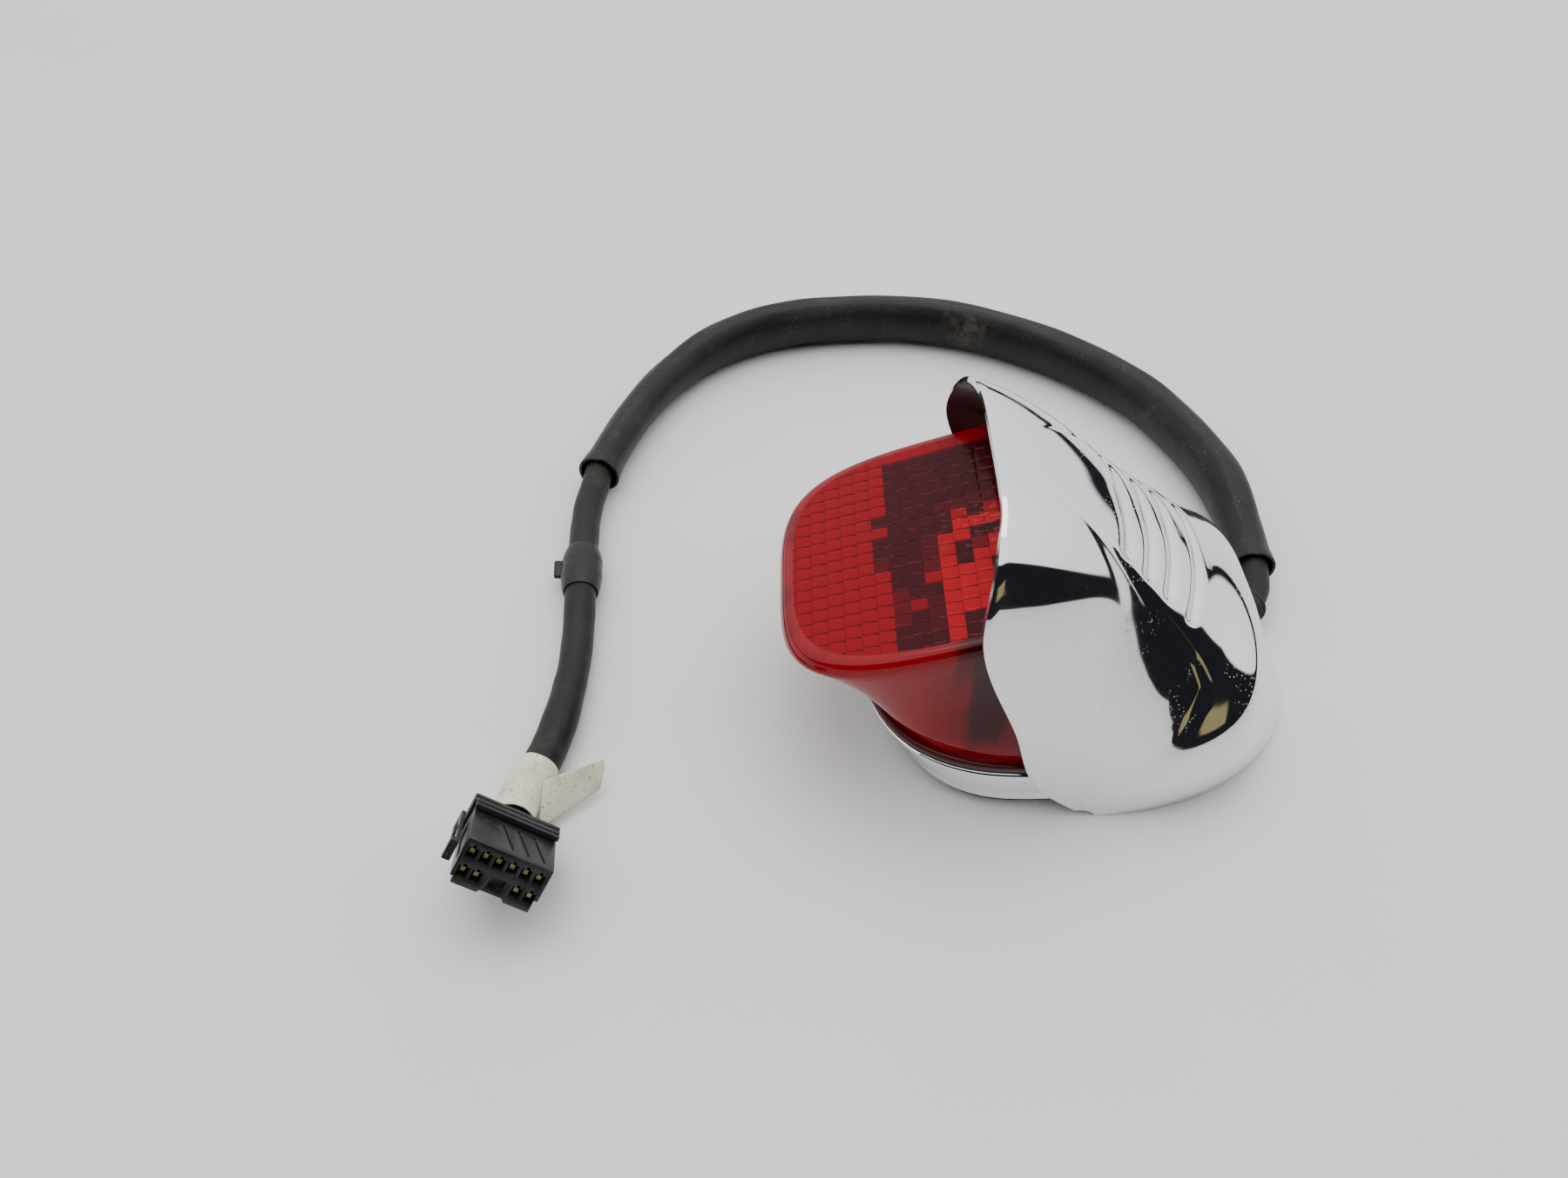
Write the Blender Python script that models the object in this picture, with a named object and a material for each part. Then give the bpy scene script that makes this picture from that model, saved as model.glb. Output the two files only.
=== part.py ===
"""Fender-mounted motorcycle tail light with a chrome visor hood and its wiring harness.

Metres, +Z up. X runs along the lamp from its nose (-X) to its tail (+X), Y across it.
The origin is under the middle of the lamp, on the plane that the lamp stands on.
"""

import math

import bmesh
import bpy
import numpy as np
from mathutils import Matrix, Vector

mm = 0.001
GAP = 0.3 * mm  # kept between pieces that touch

# Overall sizes of the lamp.
NOSE_X = -93.8 * mm
TAIL_X = 93.8 * mm
HOOD_HALF_WIDTH = 61.8 * mm
HOOD_HEIGHT = 113.0 * mm

# Visor hood: a fan of arched sections that turns about the line through its two side tips.
HOOD_WALL = 2.0 * mm
HOOD_TIP_X = 10.0 * mm
LIP_TOP_X = -28.1 * mm
LIP_BULGE = 14.4 * mm
LIP_SWELL = [(0.0, 0.0), (0.14, 0.918), (0.40, 1.0), (0.72, 1.13), (0.95, 0.297), (1.0, 0.0)]
TIP_CUT = 3.2 * mm  # the blunt end left at each side tip

# Lens face and walls.
FACE_TILT = math.radians(20)
FACE_NOSE_Z = 54.0 * mm
FACE_HALF_WIDTH = 51.5 * mm
FACE_MIDDLE_X = -28.0 * mm
FACE_BACK_X = -6.0 * mm
LENS_WALL = 2.5 * mm
LENS_BACK_X = 2.0 * mm
BEAD_HEIGHT = 5.0 * mm
BEAD_INSET = 4.5 * mm
FLANGE_THICK = 2.8 * mm
FLANGE_INSET = 2.8 * mm

# Chrome base pan and the rubber saddle under it.
BASE_HALF_WIDTH = 58.0 * mm
BASE_NOSE_X = -65.5 * mm
BASE_MIDDLE_X = -10.0 * mm
BASE_TAIL_X = 68.0 * mm
BASE_BOTTOM_Z = 5.0 * mm
BASE_TOP_Z = 18.0 * mm
BASE_WALL = 2.2 * mm
BASE_NOSE_LEAN = 11.0 * mm  # how far the skirt's lower edge is drawn back at the nose
DECK_THICK = 2.5 * mm
ARCH_Z = 12.5 * mm  # underside of the saddle on the centre line
FENDER_RADIUS = 107.0 * mm
SEAL_THICK = 1.2 * mm
SEAL_WIDTH = 4.5 * mm

# Reflector, bulb and socket.
BULB_X = -45.0 * mm
BOWL_RADIUS = 33.0 * mm
BOWL_HEIGHT = 26.0 * mm
BOWL_WALL = 1.6 * mm
CAP_RADIUS = 7.5 * mm
CAP_LENGTH = 15.0 * mm
SOCKET_WALL = 1.8 * mm
SOCKET_HEIGHT = 15.0 * mm
SOCKET_FLOOR = 2.0 * mm
GLASS_RADIUS = 12.5 * mm
GLASS_LENGTH = 27.0 * mm
PUSH_TRAVEL = 2.0 * mm
RUNNING_GAP = 0.5 * mm

# Fasteners.
LENS_SCREW_X = -17.0 * mm
LENS_SCREW_Y = 37.0 * mm
LENS_SCREW_HEAD_Z = 71.0 * mm
LENS_SCREW_RADIUS = 2.0 * mm
LENS_SCREW_HEAD_RADIUS = 3.9 * mm
COLUMN_WALL = 2.0 * mm
STUD_PLACES_X = (-24.0 * mm, 42.0 * mm)
STUD_RADIUS = 3.0 * mm
STUD_HEAD_RADIUS = 6.5 * mm
STUD_END_Z = 1.5 * mm
NUT_HEIGHT = 4.5 * mm
NUT_RADIUS = 5.7 * mm
WASHER_RADIUS = 7.0 * mm
WASHER_THICK = 1.4 * mm
HOOD_SCREW_X = 22.0 * mm
HOOD_SCREW_Z = 10.0 * mm
HOOD_SCREW_RADIUS = 2.0 * mm

# Harness.
LOOM_RADIUS = 6.0 * mm
SLEEVE_RADIUS = 10.0 * mm
GROMMET_WALL = 1.6 * mm
GROMMET_LENGTH = 4.0 * mm
OUTLET_REACH = 14.0 * mm  # how far each side of the grommet the hood is cut open
BEND_ROOM = 2.1 * mm  # room round the loom where it bends past the grommet
TAPE_WALL = 1.6 * mm
LABEL_WALL = 0.8 * mm
LEAD_RADIUS = 1.5 * mm

# Connector, in its own frame: X across, -Y towards the mating face, +Z up.
PLUG_WIDTH = 27.5 * mm
PLUG_HEIGHT = 15.5 * mm
PLUG_DEPTH = 24.0 * mm
CAVITY_PITCH = 4.35 * mm
CAVITY_WIDTH = 3.3 * mm
CAVITY_HEIGHT = 3.9 * mm
CAVITY_DEPTH = 13.0 * mm
ROW_PITCH = 6.6 * mm
CAP_OVERHANG = 1.0 * mm
CAP_DEPTH = 4.4 * mm
TERMINAL_WIDTH = 1.5 * mm
LATCH_STAND = 2.4 * mm  # from the housing's side to the middle of the sprung arm
LATCH_THICK = 1.4 * mm
LATCH_LENGTH = 20.0 * mm
PLUG_PLACE = Vector((-179.6 * mm, -90.8 * mm, 22.0 * mm))
PLUG_ACROSS = Vector((0.86, -0.14, -0.49))
PLUG_FRONT = Vector((0.15, -0.83, 0.50))

# Points on the harness, in millimetres, from the lamp to the connector.
TAIL_ROUTE = [(72, 16, 8.7), (79, 21.5, 8.7), (86, 27.4, 8.7), (91.2, 34.5, 8.9), (93.6, 44, 9.8)]
SLEEVE_ROUTE = [
    (93.9, 46, 10.3), (95.0, 70, 10.3), (93.0, 97, 10.3), (86.5, 122, 10.3), (76.0, 146, 10.3),
    (52.2, 176, 10.3), (14.5, 203, 10.3), (-27.2, 217, 10.3), (-66.3, 217.5, 10.3),
    (-105.3, 207.5, 10.3), (-134.3, 187, 10.3), (-153.1, 159.5, 10.3), (-164.6, 131, 10.3),
    (-172.2, 103, 10.3),
]
LOOM_ROUTE = [
    (-172.4, 101.5, 10.0), (-174.3, 86, 9.0), (-174.2, 66, 8.7), (-173.0, 46, 8.7),
    (-171.6, 27, 8.2), (-170.6, 9, 6.9), (-171.0, -10, 6.6), (-172.5, -26, 6.9), (-175.5, -42, 7.0),
    (-179.8, -56, 8.2), (-182.4, -66.5, 9.3), (-182.5, -74.4, 12.2),
]


def clear_scene():
    for obj in list(bpy.data.objects):
        bpy.data.objects.remove(obj, do_unlink=True)


def material(name, color, roughness, metallic=0.0, alpha=1.0):
    found = bpy.data.materials.get(name)
    if found:
        return found
    made = bpy.data.materials.new(name)
    made.use_nodes = True
    shader = made.node_tree.nodes["Principled BSDF"]
    shader.inputs["Base Color"].default_value = (*color, 1.0)
    shader.inputs["Roughness"].default_value = roughness
    shader.inputs["Metallic"].default_value = metallic
    shader.inputs["Alpha"].default_value = alpha
    return made


def chrome():
    return material("chrome", (0.80, 0.80, 0.82), 0.08, 1.0)


def red_acrylic():
    return material("red_acrylic", (0.55, 0.01, 0.02), 0.08, 0.0, 0.7)


def black_rubber():
    return material("black_rubber", (0.02, 0.02, 0.02), 0.8)


def steel():
    return material("zinc_steel", (0.55, 0.55, 0.52), 0.35, 1.0)


def brass():
    return material("brass", (0.70, 0.55, 0.25), 0.3, 1.0)


def mirror_plastic():
    return material("mirror_plastic", (0.7, 0.7, 0.7), 0.15, 1.0)


def clear_glass():
    return material("clear_glass", (0.9, 0.92, 0.92), 0.02, 0.0, 0.4)


def phenolic():
    return material("phenolic", (0.07, 0.05, 0.04), 0.6)


def black_vinyl():
    return material("black_vinyl", (0.03, 0.03, 0.035), 0.55)


def cream_label():
    return material("cream_label", (0.75, 0.68, 0.50), 0.7)


def black_nylon():
    return material("black_nylon", (0.015, 0.015, 0.017), 0.45)


def add_object(name, bm, surface, smooth=True, parent=None):
    """Turns a bmesh into a named node with its normals facing out."""
    bmesh.ops.recalc_face_normals(bm, faces=bm.faces)
    mesh = bpy.data.meshes.new(name)
    bm.to_mesh(mesh)
    bm.free()
    mesh.materials.append(surface)
    if smooth:
        mesh.shade_smooth()
        mesh.set_sharp_from_angle(angle=math.radians(35))
    obj = bpy.data.objects.new(name, mesh)
    bpy.context.collection.objects.link(obj)
    obj.parent = parent
    return obj


def add_cutter(name, bm, parent=None):
    cutter = add_object(name, bm, phenolic(), smooth=False, parent=parent)
    cutter.hide_render = True
    cutter.display_type = "WIRE"
    return cutter


def boolean(obj, cutter, operation="DIFFERENCE"):
    modifier = obj.modifiers.new(operation.lower(), "BOOLEAN")
    modifier.operation = operation
    modifier.object = cutter
    modifier.solver = "EXACT"


def box_mesh(low, high):
    bm = bmesh.new()
    bmesh.ops.create_cube(bm, size=1.0)
    low, high = Vector(low), Vector(high)
    for vert in bm.verts:
        share = vert.co + Vector((0.5, 0.5, 0.5))
        vert.co = Vector(low[i] + (high[i] - low[i]) * share[i] for i in range(3))
    return bm


def turned(profile, steps=24, place=(0, 0, 0), turn=None):
    """A solid turned about Z from (radius, z) points that run once round its half section."""
    bm = bmesh.new()
    rings = []
    for step in range(steps):
        angle = math.tau * step / steps
        ring = []
        for radius, z in profile:
            ring.append(bm.verts.new((radius * math.cos(angle), radius * math.sin(angle), z)))
        rings.append(ring)
    count = len(profile)
    for step in range(steps):
        here, there = rings[step], rings[(step + 1) % steps]
        for i in range(count):
            j = (i + 1) % count
            bm.faces.new((here[i], there[i], there[j], here[j]))
    bmesh.ops.remove_doubles(bm, verts=bm.verts, dist=0.001 * mm)
    if turn:
        bmesh.ops.transform(bm, matrix=turn, verts=bm.verts)
    bmesh.ops.translate(bm, vec=place, verts=bm.verts)
    return bm


def prism(outline, low, high):
    """An upright solid over a closed plan outline."""
    bm = bmesh.new()
    verts = [bm.verts.new((x, y, low)) for x, y in outline]
    face = bm.faces.new(verts)
    raised = bmesh.ops.extrude_face_region(bm, geom=[face])["geom"]
    moved = [item for item in raised if isinstance(item, bmesh.types.BMVert)]
    bmesh.ops.translate(bm, vec=(0, 0, high - low), verts=moved)
    return bm


def bridge(bm, first, second):
    count = len(first)
    for i in range(count):
        j = (i + 1) % count
        bm.faces.new((first[i], first[j], second[j], second[i]))


def natural_spline(points, spacing):
    """Points a fixed spacing apart on a natural cubic spline through the given points."""
    points = np.array(points, float)
    chords = np.linalg.norm(np.diff(points, axis=0), axis=1)
    knots = np.concatenate([[0.0], np.cumsum(chords)])
    count = len(points)
    system = np.eye(count)
    right = np.zeros_like(points)
    for i in range(1, count - 1):
        before, after = knots[i] - knots[i - 1], knots[i + 1] - knots[i]
        system[i, i - 1:i + 2] = before, 2 * (before + after), after
        right[i] = 6 * ((points[i + 1] - points[i]) / after - (points[i] - points[i - 1]) / before)
    bends = np.linalg.solve(system, right)
    steps = max(2, int(round(knots[-1] / spacing)))
    result = []
    for at in np.linspace(0.0, knots[-1], steps + 1):
        i = min(int(np.searchsorted(knots, at, side="right")) - 1, count - 2)
        span = knots[i + 1] - knots[i]
        a, b = (knots[i + 1] - at) / span, (at - knots[i]) / span
        bend = ((a**3 - a) * bends[i] + (b**3 - b) * bends[i + 1]) * span**2 / 6
        result.append(a * points[i] + b * points[i + 1] + bend)
    return result


def value_at(knots, at):
    """Reads a smooth curve through (position, value) knots, with level ends."""
    places = [place for place, _ in knots]
    i = max(0, min(int(np.searchsorted(places, at)) - 1, len(knots) - 2))

    def slope(k):
        if k == 0 or k == len(knots) - 1:
            k = min(max(k, 0), len(knots) - 2)
            return (knots[k + 1][1] - knots[k][1]) / (knots[k + 1][0] - knots[k][0])
        return (knots[k + 1][1] - knots[k - 1][1]) / (knots[k + 1][0] - knots[k - 1][0])

    span = knots[i + 1][0] - knots[i][0]
    t = min(max((at - knots[i][0]) / span, 0.0), 1.0)
    start, end = knots[i][1], knots[i + 1][1]
    rise = (t**3 - 2 * t**2 + t) * slope(i) + (t**3 - t**2) * slope(i + 1)
    return (2 * t**3 - 3 * t**2 + 1) * start + (3 * t**2 - 2 * t**3) * end + rise * span


def tube(name, route_mm, radius, spacing, surface, sides=3):
    """A cord as a bevelled curve with filled caps, on a smooth curve through its route."""
    curve = bpy.data.curves.new(name, "CURVE")
    curve.dimensions = "3D"
    curve.bevel_depth = radius
    curve.bevel_resolution = sides
    curve.use_fill_caps = True
    points = natural_spline([[value * mm for value in point] for point in route_mm], spacing)
    spline = curve.splines.new("POLY")
    spline.points.add(len(points) - 1)
    for target, point in zip(spline.points, points):
        target.co = (*point, 1.0)
    curve.materials.append(surface)
    obj = bpy.data.objects.new(name, curve)
    bpy.context.collection.objects.link(obj)
    return obj


# The lamp's plan outlines.


def rounded_outline(middle_x, front_x, back_x, half_width, front_power, back_power, count=56):
    """A closed outline, rounded at the nose and squarer towards the tail."""
    points = []
    for i in range(count):
        angle = math.tau * (i + 0.5) / count
        along, across = -math.cos(angle), math.sin(angle)
        power = front_power if along < 0 else back_power
        reach = middle_x - front_x if along < 0 else back_x - middle_x
        x = middle_x + math.copysign(abs(along) ** (2 / power), along) * reach
        y = math.copysign(abs(across) ** (2 / power), across) * half_width
        points.append((x, y))
    return points


def face_z(x):
    """Height of the lens face's plane."""
    return FACE_NOSE_Z + (x - NOSE_X) * math.tan(FACE_TILT)


def face_outline(inset):
    return rounded_outline(
        FACE_MIDDLE_X, NOSE_X + inset, FACE_BACK_X - inset, FACE_HALF_WIDTH - inset, 3.6, 5.0
    )


def foot_outline(inset):
    return rounded_outline(
        BASE_MIDDLE_X, BASE_NOSE_X + inset, LENS_BACK_X - inset, BASE_HALF_WIDTH - inset, 2.6, 9.0
    )


def base_outline(inset, z):
    """The pan's outline at one height: its nose leans in towards the lower edge."""
    lean = BASE_NOSE_LEAN * min(1.0, (BASE_TOP_Z - z) / (BASE_TOP_Z - BASE_BOTTOM_Z))
    return rounded_outline(
        BASE_MIDDLE_X, BASE_NOSE_X + lean + inset, BASE_TAIL_X - inset, BASE_HALF_WIDTH - inset, 2.6, 2.1
    )


def make_base():
    """The chrome pan: a flat deck with a skirt, open underneath."""
    deck_under = BASE_TOP_Z - DECK_THICK
    bm = bmesh.new()
    outer_low = [bm.verts.new((x, y, BASE_BOTTOM_Z)) for x, y in base_outline(0, BASE_BOTTOM_Z)]
    outer_high = [bm.verts.new((x, y, BASE_TOP_Z)) for x, y in base_outline(0, BASE_TOP_Z)]
    inner_high = [bm.verts.new((x, y, deck_under)) for x, y in base_outline(BASE_WALL, deck_under)]
    inner_low = [bm.verts.new((x, y, BASE_BOTTOM_Z)) for x, y in base_outline(BASE_WALL, BASE_BOTTOM_Z)]
    bridge(bm, outer_low, outer_high)
    bridge(bm, inner_high, inner_low)
    bridge(bm, inner_low, outer_low)
    bm.faces.new(outer_high)
    bm.faces.new(inner_high)
    base = add_object("base_housing", bm, chrome())
    for index, x in enumerate(STUD_PLACES_X):
        hole = turned(solid_rod(STUD_RADIUS + GAP, deck_under - 2 * mm, BASE_TOP_Z + 2 * mm), 20, (x, 0, 0))
        boolean(base, add_cutter(f"cut_base_stud_{index}", hole))
    for side in (-1, 1):
        low, high = deck_under - 2 * mm, BASE_TOP_Z + 2 * mm
        hole = turned(solid_rod(LENS_SCREW_RADIUS + GAP, low, high), 16, (LENS_SCREW_X, side * LENS_SCREW_Y, 0))
        boolean(base, add_cutter(f"cut_base_lens_screw_{side}", hole))
        reach = solid_rod(HOOD_SCREW_RADIUS + GAP, 40 * mm, 62 * mm)
        hole = turned(reach, 16, (HOOD_SCREW_X, 0, HOOD_SCREW_Z), Matrix.Rotation(-side * math.pi / 2, 4, "X"))
        boolean(base, add_cutter(f"cut_base_hood_screw_{side}", hole))
    return base


def solid_rod(radius, low, high):
    return [(0, low), (radius, low), (radius, high), (0, high)]


def make_fender_gasket():
    """The rubber saddle inside the pan, arched to a fender's crown, with two flat feet."""
    top = BASE_TOP_Z - DECK_THICK - GAP
    outline = base_outline(BASE_WALL + GAP, BASE_BOTTOM_Z)
    gasket = add_object("fender_gasket", prism(outline, 0.0, top), black_rubber())
    half = 120 * mm
    crown = turned(solid_rod(FENDER_RADIUS, -half, half), 128, (0, 0, ARCH_Z - FENDER_RADIUS),
                   Matrix.Rotation(math.pi / 2, 4, "Y"))
    boolean(gasket, add_cutter("cut_fender_crown", crown))
    for index, x in enumerate(STUD_PLACES_X):
        hole = turned(solid_rod(STUD_RADIUS + GAP, -2 * mm, top + 2 * mm), 20, (x, 0, 0))
        boolean(gasket, add_cutter(f"cut_gasket_stud_{index}", hole))
    for side in (-1, 1):
        place = (HOOD_SCREW_X, side * 46 * mm, HOOD_SCREW_Z)
        pocket = box_mesh((-6 * mm, -12 * mm, -6 * mm), (6 * mm, 12 * mm, 8 * mm))
        bmesh.ops.translate(pocket, vec=place, verts=pocket.verts)
        boolean(gasket, add_cutter(f"cut_gasket_screw_{side}", pocket))
        hole = turned(solid_rod(LENS_SCREW_RADIUS + GAP, -2 * mm, top + 2 * mm), 16,
                      (LENS_SCREW_X, side * LENS_SCREW_Y, 0))
        boolean(gasket, add_cutter(f"cut_gasket_lens_screw_{side}", hole))
    return gasket


def make_lens_gasket():
    """A flat rubber ring between the lens flange and the deck, open where the leads pass."""
    low, high = BASE_TOP_Z + GAP, BASE_TOP_Z + GAP + SEAL_THICK
    seal = add_object("lens_gasket", prism(foot_outline(0.6 * mm), low, high), black_rubber())
    opening = prism(foot_outline(0.6 * mm + SEAL_WIDTH), low - mm, high + mm)
    boolean(seal, add_cutter("cut_lens_gasket", opening))
    boolean(seal, add_cutter("cut_gasket_lead", lead_slot()))
    return seal


def lead_slot():
    low = (LENS_BACK_X - 20 * mm, 8.5 * mm, BASE_TOP_Z - mm)
    return box_mesh(low, (LENS_BACK_X + 5 * mm, 15.5 * mm, 25 * mm))


def make_lens():
    """The red lens: a flange, walls that lean out towards the nose, a rounded bead and a sloped face."""
    foot_z = BASE_TOP_Z + 2 * GAP + SEAL_THICK
    flange_z = foot_z + FLANGE_THICK
    bm = bmesh.new()

    def ring(outline, height):
        return [bm.verts.new((x, y, height(x))) for x, y in outline]

    outer = [
        ring(foot_outline(0), lambda x: foot_z),
        ring(foot_outline(0), lambda x: flange_z),
        ring(foot_outline(FLANGE_INSET), lambda x: flange_z + 0.4 * mm),
    ]
    for drop, inset in ((BEAD_HEIGHT, 0.0), (0.45 * BEAD_HEIGHT, 0.15 * BEAD_INSET),
                        (0.12 * BEAD_HEIGHT, 0.5 * BEAD_INSET), (0.0, BEAD_INSET)):
        outer.append(ring(face_outline(inset), lambda x, drop=drop: face_z(x) - drop))
    inner = [
        ring(face_outline(BEAD_INSET), lambda x: face_z(x) - LENS_WALL),
        ring(face_outline(LENS_WALL), lambda x: face_z(x) - BEAD_HEIGHT - 0.5 * mm),
        ring(foot_outline(FLANGE_INSET + LENS_WALL), lambda x: flange_z),
        ring(foot_outline(FLANGE_INSET + LENS_WALL), lambda x: foot_z),
    ]
    for first, second in zip(outer, outer[1:]):
        bridge(bm, first, second)
    for first, second in zip(inner, inner[1:]):
        bridge(bm, first, second)
    bridge(bm, inner[-1], outer[0])
    bm.faces.new(outer[-1])
    bm.faces.new(inner[0])
    lens = add_object("lens", bm, red_acrylic())
    column_radius = LENS_SCREW_HEAD_RADIUS + GAP + COLUMN_WALL
    for side in (-1, 1):
        place = (LENS_SCREW_X, side * LENS_SCREW_Y, 0)
        roof = face_z(LENS_SCREW_X) - LENS_WALL * 0.5
        column = turned(solid_rod(column_radius, foot_z, roof - 3 * mm), 24, place)
        boolean(lens, add_cutter(f"join_lens_column_{side}", column), "UNION")
    for side in (-1, 1):
        place = (LENS_SCREW_X, side * LENS_SCREW_Y, 0)
        seat = LENS_SCREW_HEAD_Z - GAP
        well = turned(
            [(0, foot_z - mm), (LENS_SCREW_RADIUS + GAP, foot_z - mm), (LENS_SCREW_RADIUS + GAP, seat),
             (LENS_SCREW_HEAD_RADIUS + 2 * GAP, seat), (LENS_SCREW_HEAD_RADIUS + 2 * GAP, 100 * mm),
             (0, 100 * mm)], 24, place)
        boolean(lens, add_cutter(f"cut_lens_well_{side}", well))
    boolean(lens, add_cutter("cut_lens_lead", lead_slot()))
    return lens


# The visor hood.


def hood_section(theta, fractions):
    """Points across the hood at one fan angle, from the near tip over the crown to the far tip."""
    lip = math.atan2(HOOD_HEIGHT, LIP_TOP_X - HOOD_TIP_X)
    share = theta / lip
    tail_reach = TAIL_X - HOOD_TIP_X
    lip_reach = math.hypot(HOOD_HEIGHT, LIP_TOP_X - HOOD_TIP_X)
    reach = value_at([
        (0.0, tail_reach), (0.12, 0.878 * tail_reach), (0.25, 0.863 * tail_reach), (0.4, 0.926 * tail_reach),
        (0.57, 0.663 * lip_reach), (0.775, 0.749 * lip_reach), (1.0, lip_reach)], share)
    power = value_at([(0.0, 1.93), (0.25, 3.37), (0.5, 2.34), (0.77, 2.70), (1.0, 4.17)], share)
    taper = value_at([(0.0, 0.0), (0.5, 0.0), (0.77, 0.07), (1.0, 0.0)], share)
    angles = np.linspace(-math.pi / 2, math.pi / 2, 361)
    across = np.sign(np.sin(angles)) * np.abs(np.sin(angles)) ** (2 / power)
    up = np.abs(np.cos(angles)) ** (2 / power)
    width = across * (1 - taper * up) * HOOD_HALF_WIDTH
    lengths = np.concatenate([[0.0], np.cumsum(np.hypot(np.diff(width), np.diff(up * reach)))])
    start = TIP_CUT / lengths[-1]
    places = (start + (1 - 2 * start) * np.array(fractions)) * lengths[-1]
    ys = np.interp(places, lengths, width)
    ups = np.interp(places, lengths, up)
    points = []
    for y, rise in zip(ys, ups):
        swell = value_at(LIP_SWELL, rise)
        x = HOOD_TIP_X + math.cos(theta) * reach * rise - LIP_BULGE * swell * share**2.6
        points.append(Vector((x, y, math.sin(theta) * reach * rise)))
    return points


def make_hood():
    """A thin shell: the fan of sections outside, and the same surface set in by the wall."""
    lip = math.atan2(HOOD_HEIGHT, LIP_TOP_X - HOOD_TIP_X)
    rows, columns = 17, 33
    fractions = [i / (columns - 1) for i in range(columns)]
    grid = [hood_section(lip * row / (rows - 1), fractions) for row in range(rows)]
    bm = bmesh.new()
    outer = [[bm.verts.new(point) for point in line] for line in grid]
    inner = []
    for row in range(rows):
        line = []
        for column in range(columns):
            along = grid[min(row + 1, rows - 1)][column] - grid[max(row - 1, 0)][column]
            across = grid[row][min(column + 1, columns - 1)] - grid[row][max(column - 1, 0)]
            inward = along.cross(across).normalized() * HOOD_WALL
            point = grid[row][column] + inward
            point.z = max(point.z, 0.0)
            line.append(bm.verts.new(point))
        inner.append(line)
    for row in range(rows - 1):
        for column in range(columns - 1):
            for line in (outer, inner):
                bm.faces.new((line[row][column], line[row + 1][column],
                              line[row + 1][column + 1], line[row][column + 1]))
    rim = [(0, column) for column in range(columns)]
    rim += [(row, columns - 1) for row in range(1, rows)]
    rim += [(rows - 1, column) for column in range(columns - 2, -1, -1)]
    rim += [(row, 0) for row in range(rows - 2, 0, -1)]
    for (row, column), (next_row, next_column) in zip(rim, rim[1:] + rim[:1]):
        bm.faces.new((outer[row][column], outer[next_row][next_column],
                      inner[next_row][next_column], inner[row][column]))
    hood = add_object("visor_hood", bm, chrome())
    rod = solid_rod(LOOM_RADIUS + 3 * GAP + GROMMET_WALL, -OUTLET_REACH, OUTLET_REACH)
    notch = turned(rod, 24, exit_place(), exit_turn())
    boolean(hood, add_cutter("cut_hood_outlet", notch))
    boolean(hood, add_cutter("cut_hood_bend", loom_bend()))
    return hood


def exit_place():
    """Where the loom leaves the hood's tail edge."""
    return Vector(TAIL_ROUTE[2]) * mm


def loom_bend():
    """A rod round the loom's bend past the grommet, for the hood to stay clear of."""
    bend = Vector(TAIL_ROUTE[4]) * mm - exit_place()
    swing = Vector((0, 0, 1)).rotation_difference(bend.normalized()).to_matrix().to_4x4()
    return turned(solid_rod(LOOM_RADIUS + BEND_ROOM, 0.0, bend.length), 24, exit_place(), swing)


def exit_turn():
    heading = (Vector(TAIL_ROUTE[3]) - Vector(TAIL_ROUTE[1])).normalized()
    heading.z = 0.0
    return Vector((0, 0, 1)).rotation_difference(heading.normalized()).to_matrix().to_4x4()


# Reflector and bulb, on one upright axis.


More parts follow.
